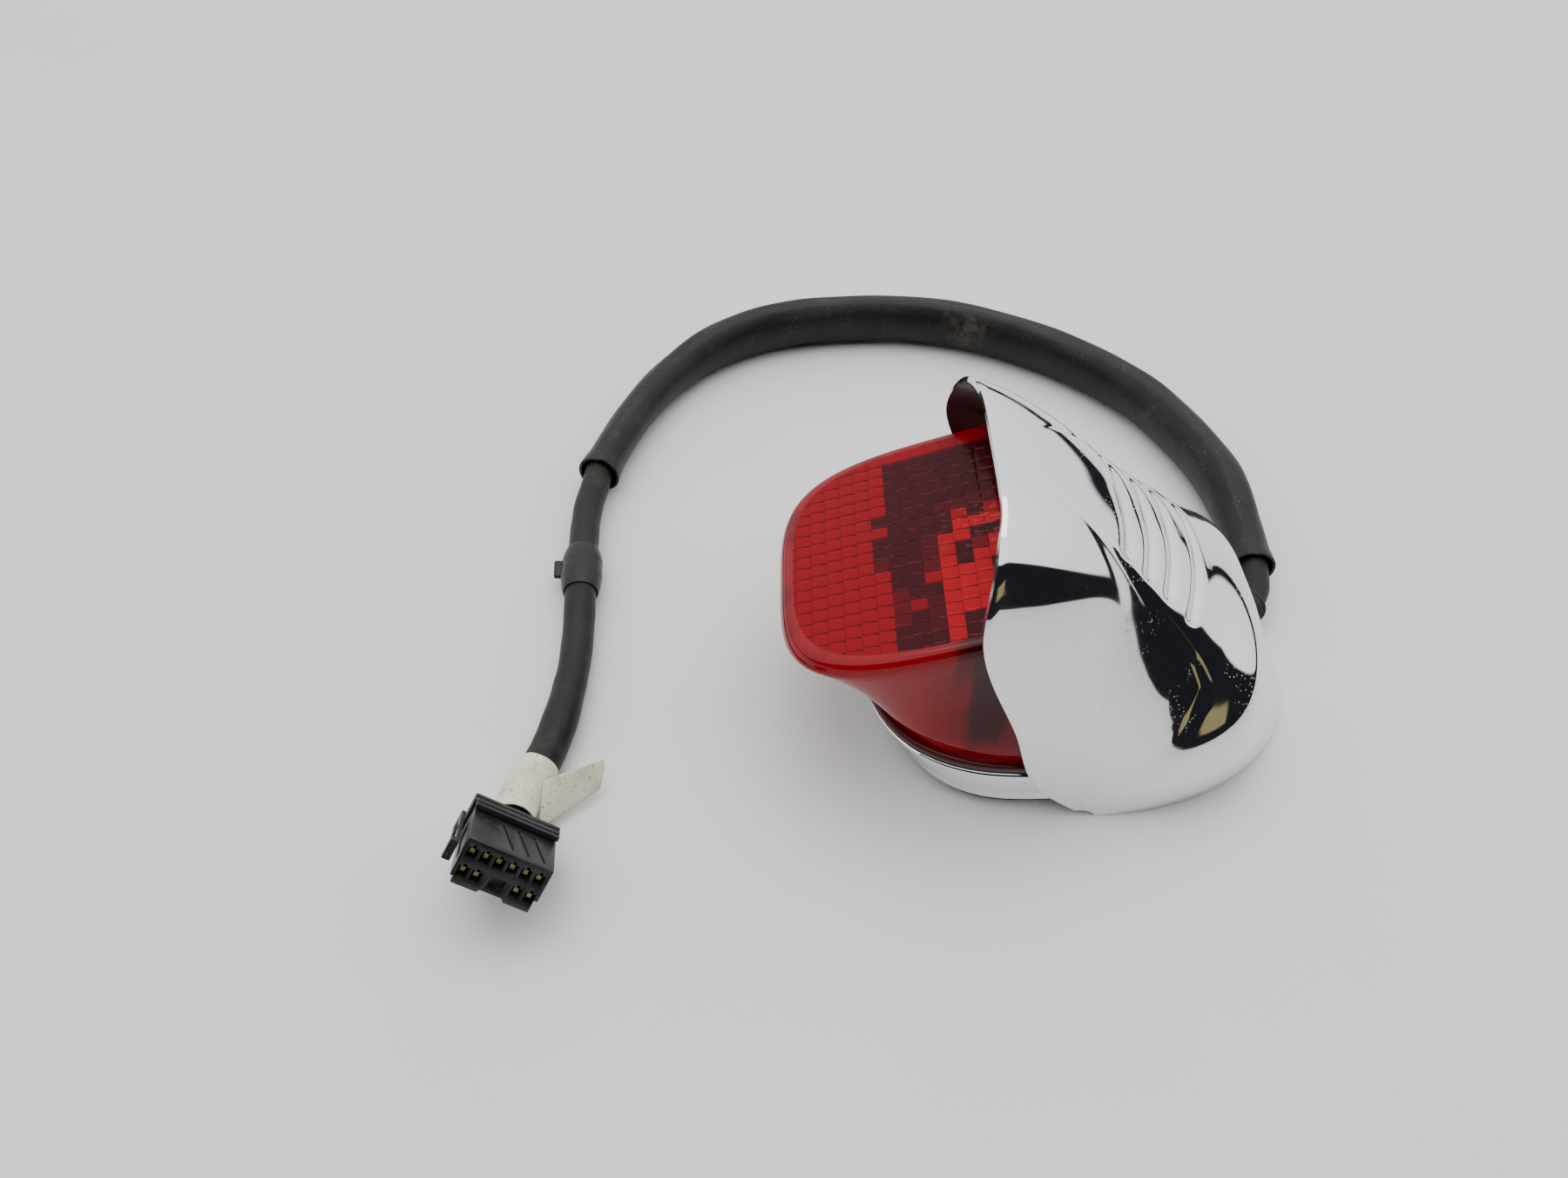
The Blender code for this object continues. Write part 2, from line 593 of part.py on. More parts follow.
def make_light_source():
    deck = BASE_TOP_Z + GAP
    socket_inner = CAP_RADIUS + RUNNING_GAP
    socket_outer = socket_inner + SOCKET_WALL
    socket_top = deck + SOCKET_HEIGHT
    place = (BULB_X, 0, 0)
    hole = socket_outer + GAP
    rings = 6
    bowl = []
    for i in range(rings + 1):
        share = i / rings
        bowl.append((hole + (BOWL_RADIUS - hole) * share, deck + 4 * mm + BOWL_HEIGHT * share**1.8))
    bowl += [(r - 0.35 * BOWL_WALL, z + BOWL_WALL) for r, z in reversed(bowl[1:])]
    bowl.append((hole, deck + 4 * mm + BOWL_WALL))
    add_object("reflector", turned(bowl, 32, place), mirror_plastic())
    socket = [
        (0, deck), (socket_outer, deck), (socket_outer, socket_top), (socket_inner, socket_top),
        (socket_inner, deck + SOCKET_FLOOR), (0, deck + SOCKET_FLOOR)]
    add_object("bulb_socket", turned(socket, 32, place), phenolic())
    plunger_low = deck + SOCKET_FLOOR + PUSH_TRAVEL + 0.5 * mm
    plunger_top = plunger_low + 1.6 * mm
    plate = solid_rod(CAP_RADIUS - 0.6 * mm, 0, plunger_top - plunger_low)
    plunger = add_object("socket_plunger", turned(plate, 24), brass())
    plunger.location = (BULB_X, 0, plunger_low)
    cap_low = plunger_top + GAP
    shell = [(0, 0), (2.2 * mm, 0), (2.6 * mm, 0.8 * mm), (CAP_RADIUS - 1.2 * mm, 1.4 * mm),
             (CAP_RADIUS, 2.6 * mm), (CAP_RADIUS, CAP_LENGTH), (0, CAP_LENGTH)]
    cap = add_object("bulb_cap", turned(shell, 32), brass())
    cap.location = (BULB_X, 0, cap_low)
    glass_low = cap_low + CAP_LENGTH + GAP
    profile = [(0, 0), (CAP_RADIUS - 0.8 * mm, 0), (CAP_RADIUS - 0.8 * mm, 2.0 * mm)]
    centre = GLASS_LENGTH - GLASS_RADIUS
    for i in range(1, 10):
        angle = -0.62 + (math.pi / 2 + 0.62) * i / 9
        profile.append((GLASS_RADIUS * math.cos(angle), centre + GLASS_RADIUS * math.sin(angle)))
    profile[-1] = (0, GLASS_LENGTH)
    glass = add_object("bulb_glass", turned(profile, 24), clear_glass())
    glass.location = (BULB_X, 0, glass_low)


def make_fasteners():
    deck = BASE_TOP_Z + GAP
    for side, word in ((-1, "left"), (1, "right")):
        head = [
            (0, 4 * mm), (LENS_SCREW_RADIUS, 4 * mm), (LENS_SCREW_RADIUS, LENS_SCREW_HEAD_Z),
            (LENS_SCREW_HEAD_RADIUS, LENS_SCREW_HEAD_Z), (LENS_SCREW_HEAD_RADIUS, LENS_SCREW_HEAD_Z + 1.4 * mm),
            (0.55 * LENS_SCREW_HEAD_RADIUS, LENS_SCREW_HEAD_Z + 2.6 * mm), (0, LENS_SCREW_HEAD_Z + 2.8 * mm)]
        # The screw's end stays inside the saddle, above its arch.
        arch = ARCH_Z - FENDER_RADIUS + math.sqrt(FENDER_RADIUS**2 - LENS_SCREW_Y**2)
        head[0] = (0, arch + mm)
        head[1] = (LENS_SCREW_RADIUS, arch + mm)
        place = (LENS_SCREW_X, side * LENS_SCREW_Y, 0)
        screw = add_object(f"lens_screw_{word}", turned(head, 20, place), steel())
        for turn in (0, math.pi / 2):
            slot = box_mesh((-2.4 * mm, -0.5 * mm, 0), (2.4 * mm, 0.5 * mm, 3 * mm))
            bmesh.ops.rotate(slot, matrix=Matrix.Rotation(turn, 3, "Z"), verts=slot.verts)
            bmesh.ops.translate(slot, vec=(place[0], place[1], LENS_SCREW_HEAD_Z + mm), verts=slot.verts)
            boolean(screw, add_cutter(f"cut_slot_{word}_{turn:.0f}", slot))
        base_y = base_wall_y(HOOD_SCREW_X)
        reach = base_y + 3.0 * mm
        head_radius = 1.6 * HOOD_SCREW_RADIUS
        seat = base_wall_y(HOOD_SCREW_X + head_radius) - BASE_WALL - 3 * GAP
        rod = [(0, seat - 2.4 * mm), (head_radius, seat - 2.4 * mm), (head_radius, seat),
               (HOOD_SCREW_RADIUS, seat), (HOOD_SCREW_RADIUS, reach), (0, reach)]
        turn = Matrix.Rotation(-side * math.pi / 2, 4, "X")
        add_object(f"hood_screw_{word}", turned(rod, 16, (HOOD_SCREW_X, 0, HOOD_SCREW_Z), turn), steel())
    for x, word in zip(STUD_PLACES_X, ("front", "rear")):
        stud = [(0, STUD_END_Z), (STUD_RADIUS - 0.6 * mm, STUD_END_Z), (STUD_RADIUS, STUD_END_Z + 0.8 * mm),
                (STUD_RADIUS, deck), (STUD_HEAD_RADIUS, deck), (STUD_HEAD_RADIUS, deck + 2.2 * mm),
                (0, deck + 2.2 * mm)]
        add_object(f"mounting_stud_{word}", turned(stud, 24, (x, 0, 0)), steel())
        washer_low = ARCH_Z - GAP - WASHER_THICK - 0.3 * mm
        inner = STUD_RADIUS + GAP
        ring = [(inner, washer_low), (WASHER_RADIUS, washer_low), (WASHER_RADIUS, washer_low + WASHER_THICK),
                (inner, washer_low + WASHER_THICK)]
        add_object(f"stud_washer_{word}", turned(ring, 24, (x, 0, 0)), steel())
        nut_low = washer_low - GAP - NUT_HEIGHT
        hexagon = turned(solid_rod(NUT_RADIUS, nut_low, nut_low + NUT_HEIGHT), 6, (x, 0, 0))
        nut = add_object(f"stud_nut_{word}", hexagon, steel(), smooth=False)
        bore = turned(solid_rod(inner, nut_low - mm, nut_low + NUT_HEIGHT + mm), 20, (x, 0, 0))
        boolean(nut, add_cutter(f"cut_nut_{word}", bore))


def base_wall_y(x):
    """Half width of the base pan at a place behind its middle."""
    share = (x - BASE_MIDDLE_X) / (BASE_TAIL_X - BASE_MIDDLE_X)
    return BASE_HALF_WIDTH * (1 - share**2.1) ** (1 / 2.1)


# Harness.


def ring_on_route(name, place, heading, inner, wall, length, surface):
    """A short sleeve that hugs a cord at one place."""
    outer = inner + wall
    half = length / 2
    soft = min(0.4 * wall, 0.5 * mm)
    profile = [(inner, -half), (outer - soft, -half), (outer, -half + soft), (outer, half - soft),
               (outer - soft, half), (inner, half)]
    turn = Vector((0, 0, 1)).rotation_difference(heading.normalized()).to_matrix().to_4x4()
    return add_object(name, turned(profile, 24, place, turn), surface)


def make_harness():
    tube("loom_tail", TAIL_ROUTE, LOOM_RADIUS, 9 * mm, black_vinyl())
    tube("outer_sleeve", SLEEVE_ROUTE, SLEEVE_RADIUS, 34 * mm, black_vinyl(), 4)
    tube("wiring_loom", LOOM_ROUTE, LOOM_RADIUS, 15 * mm, black_vinyl())
    heading = exit_turn() @ Vector((0, 0, 1))
    ring_on_route("harness_grommet", exit_place(), heading, LOOM_RADIUS + 2 * GAP, GROMMET_WALL,
                  GROMMET_LENGTH, black_rubber())
    tape_place = Vector(LOOM_ROUTE[3]) * mm
    tape_heading = Vector(LOOM_ROUTE[4]) - Vector(LOOM_ROUTE[2])
    tape_inside = LOOM_RADIUS + 2 * GAP
    ring_on_route("tape_band", tape_place, tape_heading, tape_inside, TAPE_WALL, 18 * mm, black_vinyl())
    label_place = Vector(LOOM_ROUTE[-3]) * mm
    label_heading = Vector(LOOM_ROUTE[-2]) - Vector(LOOM_ROUTE[-4])
    label = ring_on_route("printed_label", label_place, label_heading, LOOM_RADIUS + 2 * GAP, LABEL_WALL,
                          11 * mm, cream_label())
    flag = box_mesh((LOOM_RADIUS + GAP, -5.2 * mm, 0.2 * mm), (26 * mm, 5.2 * mm, 1.0 * mm))
    level = math.atan2(label_heading.y, label_heading.x) + math.pi / 2
    bmesh.ops.rotate(flag, matrix=Matrix.Rotation(level, 3, "Z"), verts=flag.verts)
    bmesh.ops.translate(flag, vec=label_place, verts=flag.verts)
    boolean(label, add_cutter("join_label_flag", flag), "UNION")
    start_x = (BULB_X + CAP_RADIUS + RUNNING_GAP + SOCKET_WALL) / mm + 0.8
    lead = [(start_x, 2.5, 20.3), (start_x + 4.4, 8, 20.2), (-22, 11.4, 20.2), (-13, 12, 20.2),
            (3, 12, 20.2), (30, 12, 20.2), (54, 11, 20.2),
            (67, 11, 19.6), (71.4, 11.6, 16.6)]
    tube("socket_lead", lead, LEAD_RADIUS, 6 * mm, black_vinyl(), 2)


# Connector.


def plug_frame():
    """The connector's own frame, as a parent empty: it lies rolled and nose-up on its rear edge."""
    front = PLUG_FRONT.normalized()
    across = (PLUG_ACROSS - front * PLUG_ACROSS.dot(front)).normalized()
    up = across.cross(front * -1)
    matrix = Matrix((across, front * -1, up)).transposed().to_4x4()
    matrix.translation = PLUG_PLACE
    empty = bpy.data.objects.new("connector_frame", None)
    bpy.context.collection.objects.link(empty)
    empty.matrix_world = matrix
    bpy.context.view_layer.update()
    return empty


def cavity_places():
    """Centres of the ten terminal cavities: six above, two and two below."""
    places = [((i - 2.5) * CAVITY_PITCH, ROW_PITCH / 2) for i in range(6)]
    places += [((i - 2.5) * CAVITY_PITCH, -ROW_PITCH / 2) for i in (0, 1, 4, 5)]
    return places


def make_connector():
    frame = plug_frame()
    half_w, half_h, half_d = PLUG_WIDTH / 2, PLUG_HEIGHT / 2, PLUG_DEPTH / 2
    step = 1.1 * mm
    outline = [
        (-half_w, half_h), (half_w, half_h), (half_w, -half_h + 4 * step), (half_w - step, -half_h + 4 * step),
        (half_w - step, -half_h), (4 * step, -half_h), (3.2 * step, -half_h + step),
        (-3.2 * step, -half_h + step), (-4 * step, -half_h), (-half_w + step, -half_h),
        (-half_w + step, -half_h + 2 * step), (-half_w, -half_h + 2 * step)]
    bm = prism(outline, -half_d, half_d)
    bmesh.ops.rotate(bm, matrix=Matrix.Rotation(math.pi / 2, 3, "X"), verts=bm.verts)
    housing = add_object("connector_housing", bm, black_nylon(), smooth=False, parent=frame)
    root = box_mesh((-half_w - LATCH_STAND + LATCH_THICK / 2 + GAP, half_d - 3.2 * mm, -3.0 * mm),
                    (-half_w + mm, half_d - 0.5 * mm, 4.2 * mm))
    boolean(housing, add_cutter("join_latch_root", root, frame), "UNION")
    cutters = bmesh.new()
    for x, z in cavity_places():
        made = bmesh.ops.create_cube(cutters, size=1.0)["verts"]
        bmesh.ops.scale(cutters, vec=(CAVITY_WIDTH, CAVITY_DEPTH, CAVITY_HEIGHT), verts=made)
        bmesh.ops.translate(cutters, vec=(x, -half_d + CAVITY_DEPTH / 2 - 0.5 * mm, z), verts=made)
    boolean(housing, add_cutter("cut_cavities", cutters, frame))
    grooves = bmesh.new()
    for i in range(3):
        made = bmesh.ops.create_cube(grooves, size=1.0)["verts"]
        bmesh.ops.scale(grooves, vec=(0.9 * mm, 14 * mm, 1.0 * mm), verts=made)
        bmesh.ops.rotate(grooves, matrix=Matrix.Rotation(math.radians(18), 3, "Z"), verts=made)
        bmesh.ops.translate(grooves, vec=(-2 * mm + i * 5.2 * mm, -2.4 * mm, half_h), verts=made)
    boolean(housing, add_cutter("cut_top_grooves", grooves, frame))
    for index, (x, z) in enumerate(cavity_places(), 1):
        size = TERMINAL_WIDTH / 2
        pin = box_mesh((x - size, -half_d + 2.0 * mm, z - size), (x + size, -half_d + 11.5 * mm, z + size))
        add_object(f"terminal_{index:02d}", pin, brass(), smooth=False, parent=frame)
    rear = half_d + GAP
    cap = box_mesh((-half_w - CAP_OVERHANG, rear, -half_h - CAP_OVERHANG),
                   (half_w + CAP_OVERHANG, rear + CAP_DEPTH, half_h + CAP_OVERHANG))
    bmesh.ops.bevel(cap, geom=cap.edges[:], offset=0.6 * mm, segments=2, affect="EDGES")
    add_object("connector_cap", cap, black_nylon(), parent=frame)
    make_lock(frame, half_w, half_h, half_d)
    make_latch(frame, half_w, half_h, half_d)


def make_lock(frame, half_w, half_h, half_d):
    """The hinged bar across the top that locks the terminals in; its origin is on its hinge line."""
    bar = box_mesh((-half_w - 0.4 * mm, -3.6 * mm, -0.9 * mm), (half_w + 0.4 * mm, 0.7 * mm, 0.9 * mm))
    bmesh.ops.bevel(bar, geom=bar.edges[:], offset=0.35 * mm, segments=2, affect="EDGES")
    lock = add_object("connector_lock", bar, black_nylon(), parent=frame)
    lock.location = (0, half_d - 1.4 * mm, half_h + 0.9 * mm + GAP)


def make_latch(frame, half_w, half_h, half_d):
    """The sprung arm beside the housing; its origin is on its flexing end."""
    half_t = LATCH_THICK / 2
    arm = box_mesh((-half_t, -LATCH_LENGTH, -3.6 * mm), (half_t, 0, 3.6 * mm))
    nub_low = (-2.0 * mm, -LATCH_LENGTH - 0.6 * mm, -3.5 * mm)
    nub = box_mesh(nub_low, (half_t - 0.1 * mm, 2 * mm - LATCH_LENGTH, 3.5 * mm))
    latch = add_object("connector_latch", arm, black_nylon(), smooth=False, parent=frame)
    join = add_cutter("join_latch_nub", nub, frame)
    boolean(latch, join, "UNION")
    for obj in (latch, join):
        obj.location = (-half_w - LATCH_STAND, half_d - 1.2 * mm, 0.6 * mm)


def main():
    clear_scene()
    make_base()
    make_fender_gasket()
    make_lens_gasket()
    make_lens()
    make_hood()
    make_light_source()
    make_fasteners()
    make_harness()
    make_connector()


main()
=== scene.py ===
import math

import bmesh
import bpy
import numpy as np
from mathutils import Matrix, Vector, noise


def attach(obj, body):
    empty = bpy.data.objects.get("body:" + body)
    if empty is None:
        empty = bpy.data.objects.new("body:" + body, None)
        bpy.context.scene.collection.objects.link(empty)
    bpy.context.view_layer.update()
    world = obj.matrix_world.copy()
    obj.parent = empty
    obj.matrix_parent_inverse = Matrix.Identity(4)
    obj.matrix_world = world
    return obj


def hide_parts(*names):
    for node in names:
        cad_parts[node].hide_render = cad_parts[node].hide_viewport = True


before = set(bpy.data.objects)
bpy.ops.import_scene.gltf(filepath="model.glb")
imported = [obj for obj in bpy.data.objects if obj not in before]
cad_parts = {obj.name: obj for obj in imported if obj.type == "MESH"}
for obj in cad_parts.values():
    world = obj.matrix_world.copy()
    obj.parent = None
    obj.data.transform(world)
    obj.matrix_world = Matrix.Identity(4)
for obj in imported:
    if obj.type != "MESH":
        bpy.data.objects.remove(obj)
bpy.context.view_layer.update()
mm = 0.001
print("frame loaded")


# Shader maths: a wrapped socket takes part in plain expressions.

class Wire:
    def __init__(self, graph, socket):
        self.graph = graph
        self.socket = socket

    def math(self, operation, other=None, swap=False):
        values = [self, other] if other is not None else [self]
        if swap:
            values.reverse()
        return self.graph.add("ShaderNodeMath", {"operation": operation}, dict(enumerate(values)))

    def __add__(self, other):
        return self.math("ADD", other)

    __radd__ = __add__

    def __mul__(self, other):
        return self.math("MULTIPLY", other)

    __rmul__ = __mul__

    def __sub__(self, other):
        return self.math("SUBTRACT", other)

    def __rsub__(self, other):
        return self.math("SUBTRACT", other, swap=True)

    def __truediv__(self, other):
        return self.math("DIVIDE", other)

    def least(self, other):
        return self.math("MINIMUM", other)

    def most(self, other):
        return self.math("MAXIMUM", other)

    def absolute(self):
        return self.math("ABSOLUTE")

    def fraction(self):
        return self.math("FRACT")

    def sine(self):
        return self.math("SINE")

    def ramp(self, low, high, start=0.0, end=1.0):
        sockets = {"Value": self, "From Min": low, "From Max": high, "To Min": start, "To Max": end}
        return self.graph.add("ShaderNodeMapRange", {"interpolation_type": "SMOOTHSTEP"}, sockets)


class Graph:
    # Nodes of a new material, or of a tree; add takes a type, its settings, and values or links by socket.
    def __init__(self, name, tree=None):
        self.tree = tree
        if tree is None:
            self.material = bpy.data.materials.new(name)
            self.material.use_nodes = True
            self.tree = self.material.node_tree
            self.shader = self.tree.nodes["Principled BSDF"]

    def add(self, kind, settings=None, sockets=None, output=0):
        node = self.tree.nodes.new(kind)
        for key, value in (settings or {}).items():
            setattr(node, key, value)
        for key, value in (sockets or {}).items():
            self.feed(node.inputs[key], value)
        return Wire(self, node.outputs[output])

    def feed(self, socket, value):
        if isinstance(value, Wire):
            self.tree.links.new(value.socket, socket)
        elif isinstance(value, (tuple, list)) and len(value) == 3 and len(socket.default_value) == 4:
            socket.default_value = (*value, 1.0)
        else:
            socket.default_value = value

    def set(self, **sockets):
        for key, value in sockets.items():
            self.feed(self.shader.inputs[key.replace("_", " ")], value)
        return self.material

    def place(self):
        return self.add("ShaderNodeTexCoord", output=3)

    def noise(self, scale, detail=3.0, rough=0.5, at=None, stretch=None):
        spot = at or self.place()
        if stretch:
            spot = self.add("ShaderNodeMapping", None, {"Vector": spot, "Scale": stretch})
        sockets = {"Vector": spot, "Scale": scale, "Detail": detail, "Roughness": rough}
        return self.add("ShaderNodeTexNoise", None, sockets)

    def cells(self, scale):
        return self.add("ShaderNodeTexVoronoi", None, {"Vector": self.place(), "Scale": scale})

    def mix(self, share, first, second):
        settings = {"data_type": "RGBA"}
        return self.add("ShaderNodeMix", settings, {0: share, 6: first, 7: second}, 2)

    def bump(self, height, distance, strength=1.0, under=None):
        sockets = {"Height": height, "Distance": distance, "Strength": strength}
        if under:
            sockets["Normal"] = under
        return self.add("ShaderNodeBump", None, sockets)

    def axes(self, kind="Object"):
        place = self.tree.nodes.new("ShaderNodeTexCoord").outputs[kind]
        node = self.tree.nodes.new("ShaderNodeSeparateXYZ")
        self.feed(node.inputs[0], Wire(self, place))
        return [Wire(self, output) for output in node.outputs]


chromeLook = {"tint": (0.83, 0.83, 0.84), "roughness": 0.045, "haze": 0.16, "pitScale": 900, "waveScale": 22}


def chromeFinish(name, look):
    graph = Graph(name)
    haze = graph.noise(38, 4, 0.6).ramp(0.52, 0.75)
    pits = graph.cells(look["pitScale"]).ramp(0.10, 0.22, 1.0, 0.0) * graph.noise(60, 2).ramp(0.56, 0.70)
    scuffs = graph.noise(240, 3, 0.6, stretch=(0.25, 1.0, 1.0)).ramp(0.60, 0.74)
    color = graph.mix(pits * 0.7, look["tint"], (0.24, 0.21, 0.17))
    rough = look["roughness"] + haze * look["haze"] * 0.5 + scuffs * 0.10 + pits * 0.4
    waves = graph.bump(graph.noise(look["waveScale"], 2, 0.4), 0.0006, 0.35)
    normal = graph.bump(pits * -1.0, 0.00008, 0.6, waves)
    return graph.set(Base_Color=color, Metallic=1.0, Roughness=rough, Normal=normal)


tileSize = 5.2 * mm
# Lens colours: plain red, then painted shade maroon, painted shadow lines, painted lit red and painted
# sparkle.
lensLook = {"plain": (0.24, 0.002, 0.008), "paintedShadeMaroon": (0.028, 0.003, 0.006), "line": (0.020, 0.001, 0.003),
            "paintedLitRed": (0.42, 0.003, 0.009), "paintedSparkle": (1.0, 0.16, 0.16), "tile": tileSize, "roughness": 0.10}


def lensWallFinish(look):
    graph = Graph("lensWall")
    x, y, z = graph.axes()
    # Painted shade: dark bands drawn across the lens wall.
    paintedDarkBands = graph.noise(34, 3, 0.6, stretch=(1.6, 1.0, 0.55)).ramp(0.46, 0.62)
    # Painted highlights: fine bright glint lines, used only in the emission colour.
    paintedGlintLines = graph.noise(120, 3, 0.55, stretch=(1.4, 0.8, 0.4)).ramp(0.50, 0.66)
    wander = (graph.noise(55, 3, 0.6) - 0.5) * 0.030
    # Painted shade: a dark column of the unlit interior, drawn on the near wall as if seen through it.
    column = (x + wander).ramp(-0.050, -0.036) * y.ramp(-0.026, -0.040) * z.ramp(0.022, 0.034)
    column = (column * (0.45 + paintedDarkBands * 0.55)).least(1.0)
    # Painted shade: a dark strip at the foot of the wall, where it meets the base.
    foot = z.ramp(0.0232, 0.0226)
    dark = (column * 0.9).most(paintedDarkBands * 0.45).most(foot * 0.86)
    color = graph.mix(dark, look["plain"], (0.022, 0.002, 0.004))
    # Painted glow: the emission colour makes the wall glow red as if lit from inside, darker where shade is
    # painted, with painted bright lines.
    paintedGlow = graph.mix(dark, (0.55, 0.004, 0.016), (0.02, 0.0, 0.0))
    paintedGlow = graph.mix(paintedGlintLines * 0.45 * (1 - column) * (1 - foot), paintedGlow, (1.0, 0.012, 0.03))
    # Painted highlights: a band of pale sparkles round the wall.
    low = (z - 0.031).absolute().ramp(0.003, 0.008, 1.0, 0.0) * paintedGlintLines
    paintedGlow = graph.mix(low * 0.8 * (1 - column), paintedGlow, (1.0, 0.10, 0.10))
    graph.set(Coat_Weight=0.40, Coat_Roughness=0.03, IOR=1.45, Emission_Strength=0.08)
    graph.set(Specular_IOR_Level=0.10)
    normal = graph.bump(graph.noise(30, 2), 0.0005, 0.25)
    return graph.set(Base_Color=color, Roughness=look["roughness"], Emission_Color=paintedGlow, Normal=normal)


def lensTileFinish(look):
    graph = Graph("lensTiles")
    x, y = graph.axes()[:2]
    tile = look["tile"]
    column = x / tile
    onColumn = column.fraction()
    cellColumn = column - onColumn
    row = y / tile + (onColumn - 0.5) * 0.16
    onRow = row.fraction()
    cellRow = row - onRow
    dice = ((cellColumn * 12.9898 + cellRow * 78.233).sine() * 4375.85).fraction()
    cx, cy = (cellColumn + 0.5) * tile, (cellRow + 0.5) * tile
    cell = graph.add("ShaderNodeCombineXYZ", None, {0: cx, 1: cy})
    # Painted shade: dark maroon regions of the unlit interior seen through the lens, chosen tile by tile.
    patch = graph.noise(60, 2, 0.5, at=cell)
    edge = (dice - 0.5) * 0.016 + (patch - 0.5) * 0.034 - (cy - 0.018) * 0.22
    middle = (cx + edge).ramp(-0.063, -0.055) * cy.ramp(-0.014, -0.002) * cy.ramp(0.047, 0.038)
    near = cx.ramp(-0.060, -0.052) * cx.ramp(-0.038, -0.046) * cy.ramp(0.0, -0.008)
    shade = (middle * 1.15).most(near * 0.75) + (patch - 0.5) * 1.1 + (dice - 0.5) * 0.30
    dark = shade.ramp(0.42, 0.62)
    # Painted light: a brighter red corner of tiles, as if lit through the lens.
    corner = cx.ramp(-0.046, -0.036) * cy.ramp(0.016, 0.002)
    dark = dark * (1 - corner) + corner * dice.ramp(0.70, 0.80)
    color = graph.mix(dark * 0.92, look["plain"], look["paintedShadeMaroon"])
    color = graph.mix(corner * (1 - dark), color, look["paintedLitRed"])
    # Painted shadow lines along the tile rows and, fainter, along the tile columns.
    line = (onRow - 0.06).absolute().ramp(0.03, 0.11, 1.0, 0.0) * (0.45 + onColumn.ramp(0.45, 0.95) * 0.55)
    post = (onColumn - 0.5).absolute().ramp(0.462, 0.492)
    color = graph.mix((line * 0.92).most(post * 0.42), color, look["line"])
    # Painted highlights: small sparkles in one zone and along the tile rows.
    gleam = graph.noise(520, 2, 0.6, stretch=(0.35, 1.0, 1.0)).ramp(0.56, 0.64)
    zone = cx.ramp(-0.044, -0.034) * (cy - 0.001).absolute().ramp(0.007, 0.016, 1.0, 0.0)
    rowGleam = (onRow - 0.16).absolute().ramp(0.05, 0.11, 1.0, 0.0) * graph.noise(260, 2).ramp(0.42, 0.58)
    paintedSparkle = (zone * gleam).most(rowGleam * dark * 0.42).most(rowGleam * corner * 0.6)
    # Painted glow: the emission colour repeats the tile colours and sparkles, so the lens face glows.
    paintedGlow = graph.mix(paintedSparkle, color, look["paintedSparkle"])
    relief = onRow * 0.7 + onColumn * 0.4 + graph.noise(420, 2) * 0.2
    normal = graph.bump(relief, 0.0005, 0.40)
    graph.set(Coat_Weight=0.12, Coat_Roughness=0.08, IOR=1.45)
    graph.set(Emission_Strength=0.15, Specular_IOR_Level=0.06)
    return graph.set(Base_Color=color, Roughness=0.30, Emission_Color=paintedGlow, Normal=normal)


vinylLook = {"black": (0.006, 0.006, 0.007), "grey": (0.016, 0.016, 0.017), "dust": (0.11, 0.09, 0.06)}


def vinylFinish(name, look, dust, roughness):
    graph = Graph(name)
    worn = graph.noise(45, 5, 0.6).ramp(0.42, 0.70)
    smudge = graph.noise(24, 4, 0.62).ramp(0.56, 0.72) * graph.noise(210, 3, 0.7).ramp(0.38, 0.62)
    specks = graph.cells(520).ramp(0.08, 0.20, 1.0, 0.0) * graph.noise(90, 2).ramp(0.50, 0.62)
    color = graph.mix(worn * 0.55, look["black"], look["grey"])
    color = graph.mix((smudge * dust).least(0.75), color, look["dust"])
    color = graph.mix(specks * dust * 0.6, color, (0.30, 0.26, 0.20))
    wrinkles = graph.bump(graph.noise(130, 4, 0.6), 0.0009, 0.45)
    normal = graph.bump(graph.noise(900, 2), 0.0001, 0.5, wrinkles)
    graph.set(Specular_IOR_Level=0.3)
    return graph.set(Base_Color=color, Roughness=roughness + smudge * 0.25, Normal=normal)


def rubberFinish(name):
    graph = Graph(name)
    dust = graph.noise(120, 5, 0.65).ramp(0.50, 0.75)
    color = graph.mix(dust * 0.6, (0.014, 0.014, 0.014), (0.075, 0.068, 0.060))
    normal = graph.bump(graph.noise(700, 3), 0.0002, 0.5)
    return graph.set(Base_Color=color, Roughness=0.72 + dust * 0.15, Normal=normal)


def labelFinish():
    graph = Graph("creamVinylLabel")
    dirt = graph.noise(70, 5, 0.65).ramp(0.44, 0.72)
    specks = graph.noise(620, 3, 0.6).ramp(0.60, 0.70)
    color = graph.mix(dirt * 0.75, (0.78, 0.73, 0.58), (0.40, 0.34, 0.24))
    color = graph.mix(specks * 0.75, color, (0.10, 0.085, 0.07))
    normal = graph.bump(graph.noise(160, 3, 0.6), 0.0006, 0.5)
    return graph.set(Base_Color=color, Roughness=0.58 + dirt * 0.2, Normal=normal)


def nylonFinish():
    graph = Graph("blackNylon")
    wear = graph.noise(60, 4, 0.6).ramp(0.50, 0.72)
    grit = graph.noise(500, 3, 0.6).ramp(0.60, 0.74)
    color = graph.mix(wear * 0.5, (0.011, 0.011, 0.013), (0.040, 0.040, 0.044))
    color = graph.mix(grit * 0.35, color, (0.14, 0.12, 0.10))
    normal = graph.bump(graph.noise(1400, 2), 0.00006, 0.6)
    return graph.set(Base_Color=color, Roughness=0.34 + wear * 0.2, Normal=normal)


